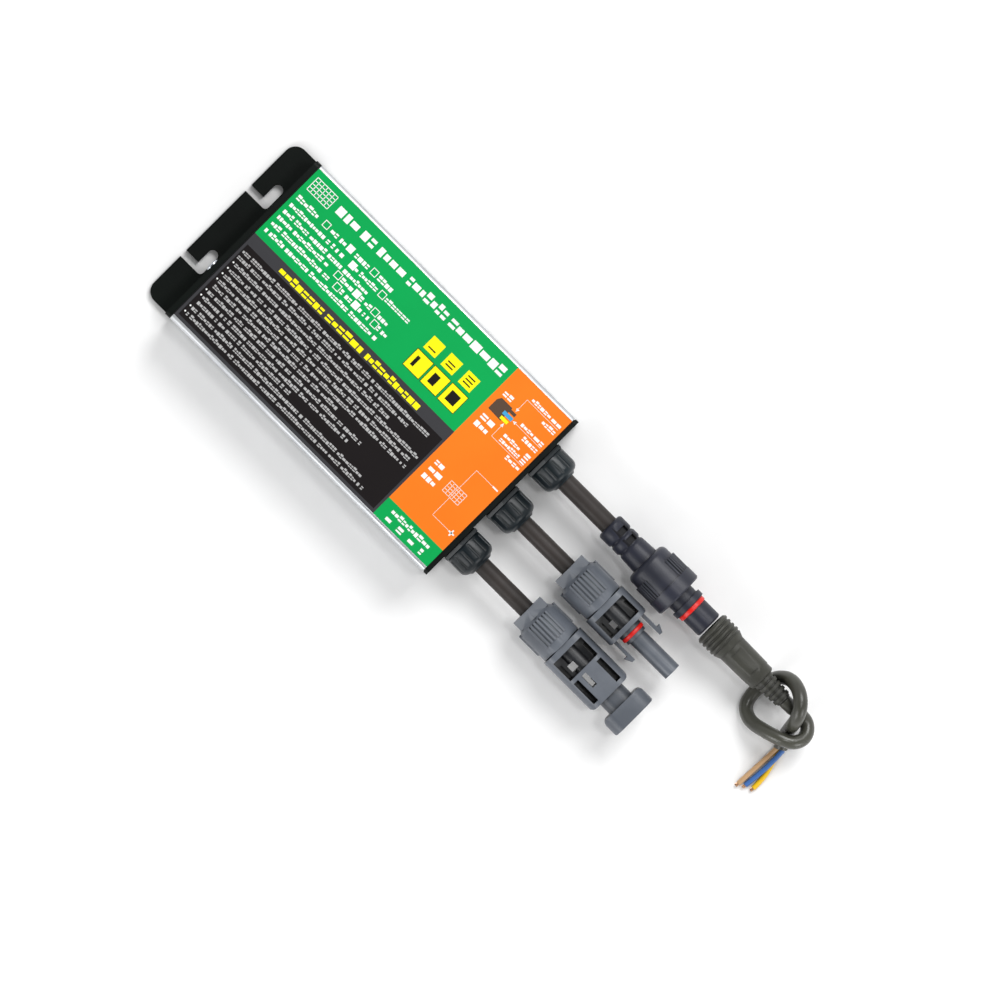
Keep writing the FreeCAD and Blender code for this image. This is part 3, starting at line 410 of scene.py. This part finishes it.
leads = {
    "height": 14.0,
    "ac": {"y": 21.0, "reach": 46.6, "diameter": 7.4},
    "pvMinus": {"y": -1.0, "reach": 43.0, "diameter": 6.8},
    "pvPlus": {"y": -23.0, "reach": 43.0, "diameter": 6.8},
}
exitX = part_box("ac_gland_nut")[1][0] / mm


def cable(name, points, diameter, material):
    # a round cable along one smooth NURBS line
    data = bpy.data.curves.new(name, "CURVE")
    data.dimensions = "3D"
    data.bevel_depth = diameter / 2 * mm
    data.bevel_resolution = 7
    data.resolution_u = 10
    data.use_fill_caps = True
    spline = data.splines.new("NURBS")
    spline.points.add(len(points) - 1)
    for point, (x, y, z) in zip(spline.points, points):
        point.co = (x * mm, y * mm, z * mm, 1.0)
    spline.order_u = 3
    spline.use_endpoint_u = True
    data.materials.append(material)
    return link(name, data)


pigtail = {
    "diameter": 5.4,
    "length": 115.9,
    "route": [
        (0.0, 0.0, 14.0), (4.0, 0.0, 13.6), (8.0, 0.7, 9.0), (12.9, 0.3, 8.2), (16.0, -3.8, 10.4),
        (14.4, -8.6, 12.8), (9.2, -11.2, 13.4), (3.2, -13.2, 10.8), (-3.2, -14.6, 6.0),
        (-8.2, -11.8, 2.7), (-9.7, -5.6, 2.7), (-8.8, -0.2, 4.2), (-7.4, 4.6, 7.6), (-4.0, 7.5, 13.0),
        (0.8, 6.8, 18.2), (5.4, 3.2, 21.2), (8.2, -1.8, 18.8), (9.3, -6.0, 9.6), (10.4, -9.8, 3.9),
        (12.6, -13.4, 2.7),
    ],
    "wire": 2.0,
    "wires": {
        "wire_brown": (tanWire,
                       [(11.6, -14.1, 3.4), (11.5, -20.4, 2.7), (11.2, -27.6, 1.7), (10.9, -34.0, 1.0)]),
        "wire_blue": (blueWire,
                      [(13.7, -13.3, 3.6), (14.1, -19.4, 3.5), (13.8, -26.4, 2.0), (13.2, -32.6, 1.0)]),
        "wire_yellow": (yellowWire,
                        [(12.8, -14.2, 1.2), (14.8, -20.4, 1.0), (16.2, -26.6, 1.1), (16.1, -31.4, 1.0)]),
    },
}
pigtailExit = (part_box("pigtail_relief")[1][0] / mm, leads["ac"]["y"])


def fromExit(points):
    return [(pigtailExit[0] + x, pigtailExit[1] + y, z) for x, y, z in points]


def addLead(name, node, key):
    size = leads[key]
    y, z = size["y"], leads["height"]
    ends = [exitX, exitX + 0.5 * size["reach"], exitX + size["reach"]]
    piece = cable(name, [(x, y, z) for x in ends], size["diameter"], leadSheath)
    return place(piece, root, [node])


acLead = addLead("acLead", "ac_lead", "ac")
pvMinusLead = addLead("pvMinusLead", "pv_minus_lead", "pvMinus")
pvPlusLead = addLead("pvPlusLead", "pv_plus_lead", "pvPlus")
pigtailCable = place(cable("pigtailCable", fromExit(pigtail["route"]), pigtail["diameter"], pigtailSheath),
                     "pigtail", ["pigtail_cord"])
for wireNode, (wireMaterial, wireRoute) in pigtail["wires"].items():
    wire = cable(wireNode + "Insulation", fromExit(wireRoute), pigtail["wire"], wireMaterial)
    place(wire, "pigtail", [wireNode])
print("cables laid")


# housing, end plates and screws

place(refined("housing_extrusion", anodised, 0.15), root, ["housing_extrusion"])
place(refined("rear_end_plate", blackCoat, 0.25), root, ["rear_end_plate"])
place(refined("front_end_plate", blackCoat, 0.2), root, ["front_end_plate"])
for nodeName in ("rear_screws", "front_screws"):
    place(refined(nodeName, blackSteel, 0.08), root, [nodeName])
for nodeName in ("ground_screw", "ground_washer"):
    place(refined(nodeName, zincSteel, 0.08), root, [nodeName])
print("housing dressed")


# label film and its print

label = {
    "top": 28.05,
    "thickness": 0.2,
    "inkHeight": 0.03,
    "left": -66.0, "right": 66.4, "low": -37.7, "high": 38.4,
    "splitX": 38.3, "bandHigh": 4.8, "bandLow": -0.2, "footY": -29.3,
    "panel": (-64.9, -36.4, 37.2, -0.2),
}


def prisms(name, shapes, low, high, material):
    # flat outlines, given as corner lists in millimetres, raised into closed solids
    bm = bmesh.new()
    for outline in shapes:
        bottom = [bm.verts.new((x * mm, y * mm, low * mm)) for x, y in outline]
        top = [bm.verts.new((x * mm, y * mm, high * mm)) for x, y in outline]
        bm.faces.new(bottom)
        bm.faces.new(top)
        for i in range(len(outline)):
            j = (i + 1) % len(outline)
            bm.faces.new([bottom[i], bottom[j], top[j], top[i]])
    bmesh.ops.recalc_face_normals(bm, faces=bm.faces)
    return fromBmesh(name, bm, material)


def panelShape(x0, y0, x1, y1):
    return [(x0, y0), (x1, y0), (x1, y1), (x0, y1)]


def stroke(x0, y0, x1, y1, width):
    # a straight line with square ends
    along = Vector((x1 - x0, y1 - y0))
    side = Vector((-along.y, along.x)).normalized() * width / 2
    return [(x0 - side.x, y0 - side.y), (x1 - side.x, y1 - side.y), (x1 + side.x, y1 + side.y),
            (x0 + side.x, y0 + side.y)]


def outlineStrokes(corners, width):
    # a closed line of strokes round a convex outline, mitred at its corners
    centre = Vector((sum(x for x, y in corners), sum(y for x, y in corners))) / len(corners)
    inner = []
    for i, corner in enumerate(corners):
        c = Vector(corner)
        before = (Vector(corners[i - 1]) - c).normalized()
        after = (Vector(corners[(i + 1) % len(corners)]) - c).normalized()
        half = before.angle(after) / 2
        inner.append(tuple(c + (before + after).normalized() * width / math.sin(half)))
    count = len(corners)
    return [[corners[i], corners[(i + 1) % count], inner[(i + 1) % count], inner[i]] for i in range(count)]


def disc(x, y, r, steps=28, start=0.0, sweep=2 * math.pi):
    closed = abs(sweep - 2 * math.pi) < 1e-6
    count = steps if closed else steps + 1
    return [(x + r * math.cos(start + sweep * i / steps),
             y + r * math.sin(start + sweep * i / steps)) for i in range(count)]


def plainGrid(left, low, right, high, columns, rows, line):
    # upright grid of thin lines
    across = [left + (right - left) * i / columns for i in range(columns + 1)]
    upward = [low + (high - low) * i / rows for i in range(rows + 1)]
    shapes = [stroke(x, low, x, high, line) for x in across]
    return shapes + [stroke(left, y, right, y, line) for y in upward]


def addFilm():
    top, low = label["top"], label["top"] - label["thickness"]
    left, right, bottom, high = label["left"], label["right"], label["low"], label["high"]
    splitX, foot = label["splitX"], label["footY"]
    greens = [panelShape(left, label["bandHigh"], splitX, high), panelShape(splitX, bottom, right, foot)]
    place(prisms("filmGreen", greens, low, top, filmGreen), root, ["label_film"])
    bandPieces = [panelShape(left, label["panel"][3], splitX, label["bandHigh"]),
              panelShape(left, bottom, label["panel"][0], label["panel"][3]),
              panelShape(label["panel"][2], bottom, splitX, label["panel"][3]),
              panelShape(label["panel"][0], bottom, label["panel"][2], label["panel"][1])]
    place(prisms("filmBand", bandPieces, low, top, filmGrey), root)
    place(prisms("filmPanel", [panelShape(*label["panel"])], low, top, filmBlack), root)
    place(prisms("filmOrange", [panelShape(splitX, foot, right, high)], low, top, filmOrange), root)


addFilm()


def makeRowTree():
    # rows of small blocks that stand for lines of print: each point of the base mesh is the start of a row
    inputs = [("Ink", "NodeSocketMaterial", None), ("Thickness", "NodeSocketFloat", 0.00003),
              ("Seed", "NodeSocketInt", 1), ("Word Break", "NodeSocketFloat", 0.2),
              ("Letter Gap", "NodeSocketFloat", 0.14),
              ("Narrow", "NodeSocketFloat", 0.42), ("Wide", "NodeSocketFloat", 0.8)]
    inputs.insert(0, ("Geometry", "NodeSocketGeometry", None))
    tree, given, result = newTree("printRows", "GeometryNodeTree", inputs,
                                  [("Geometry", "NodeSocketGeometry")])
    tree.is_modifier = True

    def read(name):
        return addNode(tree, "GeometryNodeInputNamedAttribute", {"Name": name},
                       data_type="FLOAT").outputs["Attribute"]

    def sum2(a, b, operation="ADD"):
        return addNode(tree, "ShaderNodeMath", {0: a, 1: b}, operation=operation).outputs["Value"]

    length, height = read("rowLength"), read("rowHeight")
    count = sum2(length, sum2(height, 0.4, "MULTIPLY"), "DIVIDE")
    row = addNode(tree, "GeometryNodeInputIndex").outputs["Index"]
    marked = addNode(tree, "GeometryNodeStoreNamedAttribute",
                     {"Geometry": given["Geometry"], "Name": "row", "Value": row},
                     data_type="INT", domain="POINT")
    copies = addNode(tree, "GeometryNodeDuplicateElements",
                     {"Geometry": marked.outputs["Geometry"], "Amount": count},
                     domain="POINT")
    rowNumber = addNode(tree, "GeometryNodeInputNamedAttribute", {"Name": "row"},
                        data_type="INT").outputs["Attribute"]
    index = addNode(tree, "GeometryNodeInputIndex").outputs["Index"]

    def chance(shift, low, high):
        seed = sum2(given["Seed"], shift)
        return addNode(tree, "FunctionNodeRandomValue", {"Seed": seed, "ID": index, 2: low, 3: high},
                       data_type="FLOAT").outputs[1]

    def store(geometry, name, value):
        return addNode(tree, "GeometryNodeStoreNamedAttribute",
                       {"Geometry": geometry, "Name": name, "Value": value},
                       data_type="FLOAT", domain="POINT").outputs["Geometry"]

    def runningTotal(value):
        return addNode(tree, "GeometryNodeAccumulateField", {"Value": value, "Group ID": rowNumber},
                       data_type="FLOAT", domain="POINT")

    width = sum2(chance(1, given["Narrow"], given["Wide"]), height, "MULTIPLY")
    gap = sum2(height, given["Letter Gap"], "MULTIPLY")
    space = sum2(sum2(chance(2, 0.0, 1.0), given["Word Break"], "LESS_THAN"), sum2(height, 0.4, "MULTIPLY"),
                 "MULTIPLY")
    step = sum2(sum2(width, gap), space)
    sized = store(copies.outputs["Geometry"], "glyphWidth", width)
    stepped = store(sized, "glyphStep", step)
    reaching = store(stepped, "reach", sum2(runningTotal(step).outputs["Trailing"], width))
    past = sum2(read("reach"), length, "GREATER_THAN")
    kept = addNode(tree, "GeometryNodeDeleteGeometry", {"Geometry": reaching, "Selection": past},
                   domain="POINT")
    # what is left of each row is spread to fill its length
    total = runningTotal(read("glyphStep"))
    stretch = sum2(length, sum2(total.outputs["Total"], gap, "SUBTRACT"), "DIVIDE")
    filled = store(kept.outputs["Geometry"], "stretch", stretch)
    shift = addNode(tree, "ShaderNodeCombineXYZ",
                    {"X": sum2(total.outputs["Trailing"], read("stretch"), "MULTIPLY")})
    moved = addNode(tree, "GeometryNodeSetPosition", {"Geometry": filled, "Offset": shift.outputs["Vector"]})

    def bars(shapes):
        # a glyph block from bars: centre x, centre y, width, height in a unit square
        join = addNode(tree, "GeometryNodeJoinGeometry")
        for x, y, w, h in shapes:
            size = addNode(tree, "ShaderNodeCombineXYZ", {"X": w, "Y": h, "Z": 1.0})
            box = addNode(tree, "GeometryNodeMeshCube", {"Size": size.outputs["Vector"]})
            moveBox = addNode(tree, "GeometryNodeTransform",
                              {"Geometry": box.outputs["Mesh"], "Translation": (x, y, 0.5)})
            tree.links.new(moveBox.outputs["Geometry"], join.inputs["Geometry"])
        return addNode(tree, "GeometryNodeGeometryToInstance",
                       {"Geometry": join.outputs["Geometry"]}).outputs["Instances"]

    glyphs = [
        [(0.5, 0.36, 1.0, 0.72)],
        [(0.5, 0.13, 1.0, 0.26), (0.5, 0.59, 1.0, 0.26)],
        [(0.5, 0.36, 1.0, 0.5)],
        [(0.5, 0.13, 1.0, 0.26), (0.5, 0.68, 1.0, 0.44)],
    ]
    choice = addNode(tree, "GeometryNodeJoinGeometry")
    for shapes in glyphs:
        tree.links.new(bars(shapes), choice.inputs["Geometry"])
    pick = addNode(tree, "ShaderNodeMath", {0: chance(3, 0.0, len(glyphs) - 0.001)}, operation="FLOOR")
    broad = sum2(read("glyphWidth"), read("stretch"), "MULTIPLY")
    size = addNode(tree, "ShaderNodeCombineXYZ", {"X": broad, "Y": height, "Z": given["Thickness"]})
    spread = addNode(tree, "GeometryNodeInstanceOnPoints",
                     {"Points": moved.outputs["Geometry"], "Instance": choice.outputs["Geometry"],
                      "Pick Instance": True,
                      "Instance Index": pick.outputs["Value"], "Scale": size.outputs["Vector"]})
    solid = addNode(tree, "GeometryNodeRealizeInstances", {"Geometry": spread.outputs["Instances"]})
    inked = addNode(tree, "GeometryNodeSetMaterial",
                    {"Geometry": solid.outputs["Geometry"], "Material": given["Ink"]})
    tree.links.new(inked.outputs["Geometry"], result.inputs["Geometry"])
    return tree


rowTree = makeRowTree()


def printRows(name, rows, ink, seed, wordBreak=0.2, wide=0.8):
    # rows are (start x, foot y, length, height) in millimetres
    mesh = bpy.data.meshes.new(name + "Starts")
    mesh.from_pydata([(x * mm, y * mm, label["top"] * mm) for x, y, length, height in rows], [], [])
    for key, column in (("rowLength", 2), ("rowHeight", 3)):
        mesh.attributes.new(key, "FLOAT", "POINT").data.foreach_set("value",
            [row[column] * mm for row in rows])
    values = {"Ink": ink, "Thickness": label["inkHeight"] * mm, "Seed": seed, "Word Break": wordBreak,
              "Letter Gap": 0.14,
              "Narrow": 0.55 * wide, "Wide": wide}
    place(grow(name, rowTree, values, mesh), root)


def row(x0, x1, y, height):
    # a row from its left end, right end, middle height and letter height
    return (x0, y - height / 2, x1 - x0, height)


printing = {
    "title": [row(-50.5, -39.8, 33.4, 4.7), row(-37.6, -31.2, 33.4, 4.7), row(-29.0, -15.7, 33.4, 4.7),
              row(-13.5, 6.4, 33.4, 4.7)],
    "titleEnd": [row(8.3, 36.0, 33.4, 4.6)],
    "spec": [row(-64.3, -53.6, 25.6, 2.4), row(-46.6, -38.0, 25.6, 2.4), row(-33.9, -26.0, 25.6, 2.4),
             row(-22.0, -13.9, 25.6, 2.4), row(-64.3, -36.6, 21.8, 2.1), row(-30.3, -19.0, 21.8, 2.1),
             row(-14.4, -2.3, 21.8, 2.1), row(-64.3, -20.7, 18.4, 2.1), row(-64.3, -37.5, 15.4, 2.1),
             row(-31.2, -25.4, 15.4, 2.1), row(-21.6, -15.8, 15.4, 2.1), row(-11.8, -6.3, 15.4, 2.1),
             row(-64.3, -34.6, 12.1, 2.1), row(-28.4, -22.8, 12.1, 2.1), row(-18.9, -13.0, 12.1, 2.1),
             row(-9.2, -3.6, 12.1, 2.1), row(-64.3, -5.6, 8.7, 2.1)],
    "heading": [row(-49.8, -27.3, 2.1, 3.2), row(-25.6, -7.0, 2.1, 3.2), row(-4.9, 22.8, 2.1, 3.2)],
    "small": [row(x0, x1, y, 1.75) for x0, x1, y in (
        (-64.3, 33.2, -3.0), (-64.3, 25.2, -5.7), (-62.9, 17.5, -8.6), (-62.9, 35.6, -11.5),
        (-62.9, 33.7, -14.3),
        (-62.9, 34.7, -17.1), (-62.9, 2.3, -19.8), (-62.9, 16.9, -22.7), (-62.9, 13.5, -25.5),
        (-62.9, -14.8, -28.2),
        (-62.9, 25.6, -31.1), (-62.9, 29.2, -33.9))],
    "orange": [row(50.4, 59.8, 33.9, 1.8), row(60.6, 65.1, 33.9, 2.2), row(58.8, 65.1, 30.7, 2.0),
               row(41.1, 45.3, 28.4, 2.4), row(53.9, 59.9, 24.6, 1.8), row(60.6, 65.1, 24.6, 2.2),
               row(57.9, 65.1, 21.3, 2.0), row(52.1, 60.0, 17.4, 1.7), row(52.1, 61.8, 15.1, 1.7),
               row(62.9, 65.1, 17.4, 2.2), row(62.9, 65.1, 15.1, 2.2), row(58.3, 65.1, 12.0, 2.0),
               row(41.0, 47.1, 16.9, 2.9), row(41.0, 47.1, 13.4, 2.9), row(41.1, 45.2, -7.4, 2.4),
               row(41.0, 47.1, -10.6, 2.7), row(41.0, 47.1, -14.1, 2.7)],
    "foot": [row(42.8, 63.0, -31.9, 2.4), row(42.8, 45.4, -35.2, 2.5), row(48.6, 51.2, -35.2, 2.5),
             row(54.4, 57.0, -35.2, 2.5), row(60.2, 62.8, -35.2, 2.5)],
}
printRows("printTitle", printing["title"], inkWhite, 11, 0.0, 0.62)
printRows("printTitleEnd", printing["titleEnd"], inkWhite, 17, 0.0, 0.95)
printRows("printSpec", printing["spec"], inkWhite, 12, 0.16)
printRows("printHeading", printing["heading"], inkYellow, 13, 0.0, 0.85)
printRows("printSmall", printing["small"], inkPale, 14, 0.2)
printRows("printOrange", printing["orange"], inkWhite, 15, 0.0)
printRows("printFoot", printing["foot"], inkWhite, 16, 0.14)
print("rows printed")


def addMarks():
    top = label["top"]
    first, second = top + label["inkHeight"], top + 2 * label["inkHeight"]
    sunk = top - 0.02
    white = plainGrid(-63.9, 29.8, -53.4, 35.8, 6, 4, 0.3)
    for x, y, full in ((-49.3, 25.6, 0), (-36.7, 25.6, 1), (-24.3, 25.6, 0), (-31.8, 21.8, 1),
                       (-16.4, 21.8, 0),
                       (-33.1, 15.4, 0), (-23.3, 15.4, 1), (-13.7, 15.4, 0), (-30.3, 12.1, 0),
                       (-20.7, 12.1, 1),
                       (-10.8, 12.1, 0)):
        box = panelShape(x - 1.4, y - 1.4, x + 1.4, y + 1.4)
        white += [box] if full else outlineStrokes(box, 0.28)
    for y in (-8.6, -11.5, -14.3, -17.1, -22.7, -25.5, -31.1, -33.9):
        white.append(disc(-63.9, y, 0.36, 10))
    white += [stroke(49.0, 32.3, 65.1, 32.3, 0.13), stroke(49.1, 32.3, 49.1, 26.5, 0.13),
              stroke(51.5, 23.0, 65.1, 23.0, 0.13),
              stroke(49.1, 13.5, 65.1, 13.5, 0.13), stroke(49.1, 13.5, 49.1, 19.3, 0.13),
              [(49.1, 26.1), (49.75, 27.5), (48.45, 27.5)], [(50.8, 23.0), (52.2, 22.35), (52.2, 23.65)],
              [(49.1, 20.0), (48.45, 18.6), (49.75, 18.6)],
              stroke(54.3, 0.56, 62.6, 0.56, 0.13), stroke(54.3, -22.5, 62.6, -22.5, 0.13),
              stroke(54.3, -22.5, 54.3, 0.56, 0.13),
              stroke(62.7, 0.56, 65.3, 0.56, 0.6), stroke(62.7, -22.5, 65.3, -22.5, 0.6),
              stroke(64.0, -23.8, 64.0, -21.2, 0.6)]
    white += plainGrid(50.4, -13.6, 58.4, -8.6, 5, 4, 0.18)
    place(prisms("printMarksWhite", white, sunk, first, inkWhite), root)

    # two rows of plain tiles, each with a neutral mark
    yellow, dark = [], []
    for i, x in enumerate((10.9, 19.9, 29.0)):
        yellow.append(panelShape(x - 3.0, 18.9, x + 3.0, 24.9))
        dark += [stroke(x - 1.8, 20.5 + 1.4 * k, x + 1.8, 20.5 + 1.4 * k, 0.5) for k in range(i + 1)]
    for i, x in enumerate((11.0, 20.0, 29.1)):
        square = panelShape(x - 4.2, 9.0, x + 4.2, 17.4)
        yellow.append(square)
        dark += outlineStrokes(square, 0.22)
        dark.append(panelShape(x - 2.2, 11.0, x - 2.2 + 2.2 * (i + 1) * 0.66, 15.4))
    place(prisms("printTilesYellow", yellow, sunk, first, inkYellow), root)
    place(prisms("printTilesDark", dark, first - 0.01, second, inkDark), root)

    sheath = [(40.9, 20.0), (47.4, 19.8), (47.4, 26.2), (41.9, 26.2), (40.9, 24.6)]
    cores = {"brown": (inkBrown, [panelShape(47.4, 24.3, 50.2, 25.6), sheath]),
             "blue": (inkBlue, [panelShape(45.9, 22.2, 50.4, 23.7)]),
             "greenYellow": (inkYellow, [panelShape(46.4, 20.3, 50.0, 21.6)])}
    for core, (ink, shapes) in cores.items():
        lift = 0 if core == "brown" else label["inkHeight"]
        place(prisms("printCable_" + core, shapes, sunk + lift, first + lift, ink), root)


addMarks()
print("label printed")


# glands

for lead in ("ac", "pv_minus", "pv_plus"):
    place(refined(lead + "_gland_body", glandNylon, 0.15), root, [lead + "_gland_body"])
    place(refined(lead + "_gland_nut", glandNylon, 0.12), lead + "_gland_nut", [lead + "_gland_nut"])
print("glands dressed")

# connectors

dressed = {
    "ac_plug_boot": (plugNylon, root), "ac_plug_body": (plugNylon, root),
    "ac_coupling_nut": (couplingNylon, "ac_coupling_nut"),
    "ac_slip_washer": (plugNylon, "ac_slip_washer"),
    "pv_minus_nut": (capNylon, "pv_minus_nut"), "pv_minus_body": (connectorNylon, root),
    "pv_minus_latch_left": (connectorNylon, "latch_left"),
    "pv_minus_latch_right": (connectorNylon, "latch_right"),
    "pv_plus_nut": (capNylon, "pv_plus_nut"), "pv_plus_body": (connectorNylon, root),
    "pv_plus_head": (connectorNylon, root),
    "pigtail_socket": (pigtailNylon, "pigtail"), "pigtail_grip": (pigtailNylon, "pigtail"),
    "pigtail_relief": (pigtailNylon, "pigtail"),
}
# painted shade: the hollow middle of each DC connector, and the notches of the AC plug's boot, take a dark
# copy of their material
paintedShadeBoxes = {
    "pv_minus_body": (recessPaintedShade, [((125.0, -8.35, 5.9), (134.0, 6.35, 22.1))]),
    "pv_plus_body": (recessPaintedShade, [((125.0, -30.35, 5.9), (134.4, -15.65, 22.1))]),
    "ac_plug_boot": (notchPaintedShade,
                     [((107.25, 20.4, 17.0), (109.85, 26.0, 19.6)),
                      ((111.75, 20.4, 17.0), (114.35, 26.0, 19.6)),
                                ((107.25, 16.0, 8.4), (109.85, 21.6, 11.0)),
                                ((111.75, 16.0, 8.4), (114.35, 21.6, 11.0))]),
}
for nodeName, (skin, bodyName) in dressed.items():
    piece = refined(nodeName, skin, 0.12)
    if nodeName in paintedShadeBoxes:
        paintRecessShade(piece, *paintedShadeBoxes[nodeName])
    place(piece, bodyName, [nodeName])

for nodeName, ease in (("ac_plug_o_ring", 0.35), ("pv_minus_o_ring", 0.7)):
    place(refined(nodeName, redSilicone, ease, segments=4), root, [nodeName])

plain = {
    "ac_plug_contacts": contactTin,
    "pigtail_contacts": contactTin, "pv_minus_contact": contactTin, "pv_plus_contact": contactTin,
    "rear_gasket": sealRubber, "front_gasket": sealRubber, "gland_washers": sealRubber,
    "gland_seals": sealRubber, "gland_locknuts": glandNylon, "circuit_board": boardResist,
    "transformer_core": ferrite, "choke_ring": ferrite, "transformer_winding": enamelCopper,
    "bulk_capacitors": canSleeve, "film_capacitor": partCase, "relay": partCase,
    "power_transistors": partCase,
    "heat_spreader": anodised, "terminal_block": boardResist,
}
for nodeName, material in plain.items():
    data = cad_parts[nodeName].data
    data.materials.clear()
    data.materials.append(material)
print("connectors dressed")

# bare copper at the ends of the three wires

strands = {"count": 6, "diameter": 0.42, "length": 1.9, "bundle": 0.9}


def makeStrandTree():
    # each point of the base mesh is a wire's end, and its heading is the way that the wire points there
    inputs = [("Geometry", "NodeSocketGeometry", None), ("Copper", "NodeSocketMaterial", None),
              ("Count", "NodeSocketInt", 6), ("Strand Diameter", "NodeSocketFloat", 0.0004),
              ("Strand Length", "NodeSocketFloat", 0.002), ("Bundle Diameter", "NodeSocketFloat", 0.0009),
              ("Seed", "NodeSocketInt", 5)]
    tree, given, result = newTree("strandBundle", "GeometryNodeTree", inputs,
                                  [("Geometry", "NodeSocketGeometry")])
    tree.is_modifier = True
    half = addNode(tree, "ShaderNodeMath", {0: given["Strand Diameter"], 1: 0.5},
                   operation="MULTIPLY").outputs["Value"]
    middle = addNode(tree, "ShaderNodeMath", {0: given["Strand Length"], 1: 0.5},
                     operation="MULTIPLY").outputs["Value"]
    reach = addNode(tree, "ShaderNodeMath", {0: given["Bundle Diameter"], 1: 0.5},
                    operation="MULTIPLY").outputs["Value"]
    strand = addNode(tree, "GeometryNodeMeshCylinder",
                     {"Vertices": 8, "Radius": half, "Depth": given["Strand Length"]})
    lift = addNode(tree, "ShaderNodeCombineXYZ", {"Z": middle})
    raised = addNode(tree, "GeometryNodeTransform", {"Geometry": strand.outputs["Mesh"],
                                                      "Translation": lift.outputs["Vector"]})
    ring = addNode(tree, "GeometryNodeMeshCircle", {"Vertices": given["Count"], "Radius": reach})
    centre = addNode(tree, "GeometryNodePoints", {"Count": 1})
    splay = addNode(tree, "FunctionNodeRandomValue", {0: (-0.16, -0.16, 0.0), 1: (0.16, 0.16, 3.0),
                                                       "Seed": given["Seed"]}, data_type="FLOAT_VECTOR")
    loose = addNode(tree, "GeometryNodeMeshToPoints", {"Mesh": ring.outputs["Mesh"]})
    both = addNode(tree, "GeometryNodeJoinGeometry")
    tree.links.new(loose.outputs["Points"], both.inputs["Geometry"])
    tree.links.new(centre.outputs[0], both.inputs["Geometry"])
    bundle = addNode(tree, "GeometryNodeInstanceOnPoints", {"Points": both.outputs["Geometry"],
                                                             "Instance": raised.outputs["Geometry"],
                                                             "Rotation": splay.outputs["Value"]})
    whole = addNode(tree, "GeometryNodeGeometryToInstance", {"Geometry": bundle.outputs["Instances"]})
    heading = addNode(tree, "GeometryNodeInputNamedAttribute", {"Name": "heading"}, data_type="FLOAT_VECTOR")
    turn = addNode(tree, "FunctionNodeAlignEulerToVector", {"Vector": heading.outputs["Attribute"]}, axis="Z")
    ends = addNode(tree, "GeometryNodeInstanceOnPoints", {"Points": given["Geometry"],
                                                           "Instance": whole.outputs["Instances"],
                                                           "Rotation": turn.outputs["Rotation"]})
    solid = addNode(tree, "GeometryNodeRealizeInstances", {"Geometry": ends.outputs["Instances"]})
    coppered = addNode(tree, "GeometryNodeSetMaterial", {"Geometry": solid.outputs["Geometry"],
                                                          "Material": given["Copper"]})
    tree.links.new(coppered.outputs["Geometry"], result.inputs["Geometry"])
    return tree


def addStrands():
    starts, headings = [], []
    for wireMaterial, wireRoute in pigtail["wires"].values():
        before, end = (Vector(p) * mm for p in fromExit(wireRoute)[-2:])
        way = (end - before).normalized()
        starts.append(end - way * 0.5 * mm)
        headings.append(Vector((way.x, way.y, 0.0)).normalized())
    base = bpy.data.meshes.new("strandStarts")
    base.from_pydata([tuple(p) for p in starts], [], [])
    base.attributes.new("heading", "FLOAT_VECTOR", "POINT").data.foreach_set("vector",
        [c for h in headings for c in h])
    values = {"Copper": bareCopper, "Count": strands["count"], "Strand Diameter": strands["diameter"] * mm,
              "Strand Length": strands["length"] * mm, "Bundle Diameter": strands["bundle"] * mm, "Seed": 5}
    place(grow("copperStrands", makeStrandTree(), values, base), "pigtail", ["wire_strands"])


addStrands()
print("wire ends stripped")
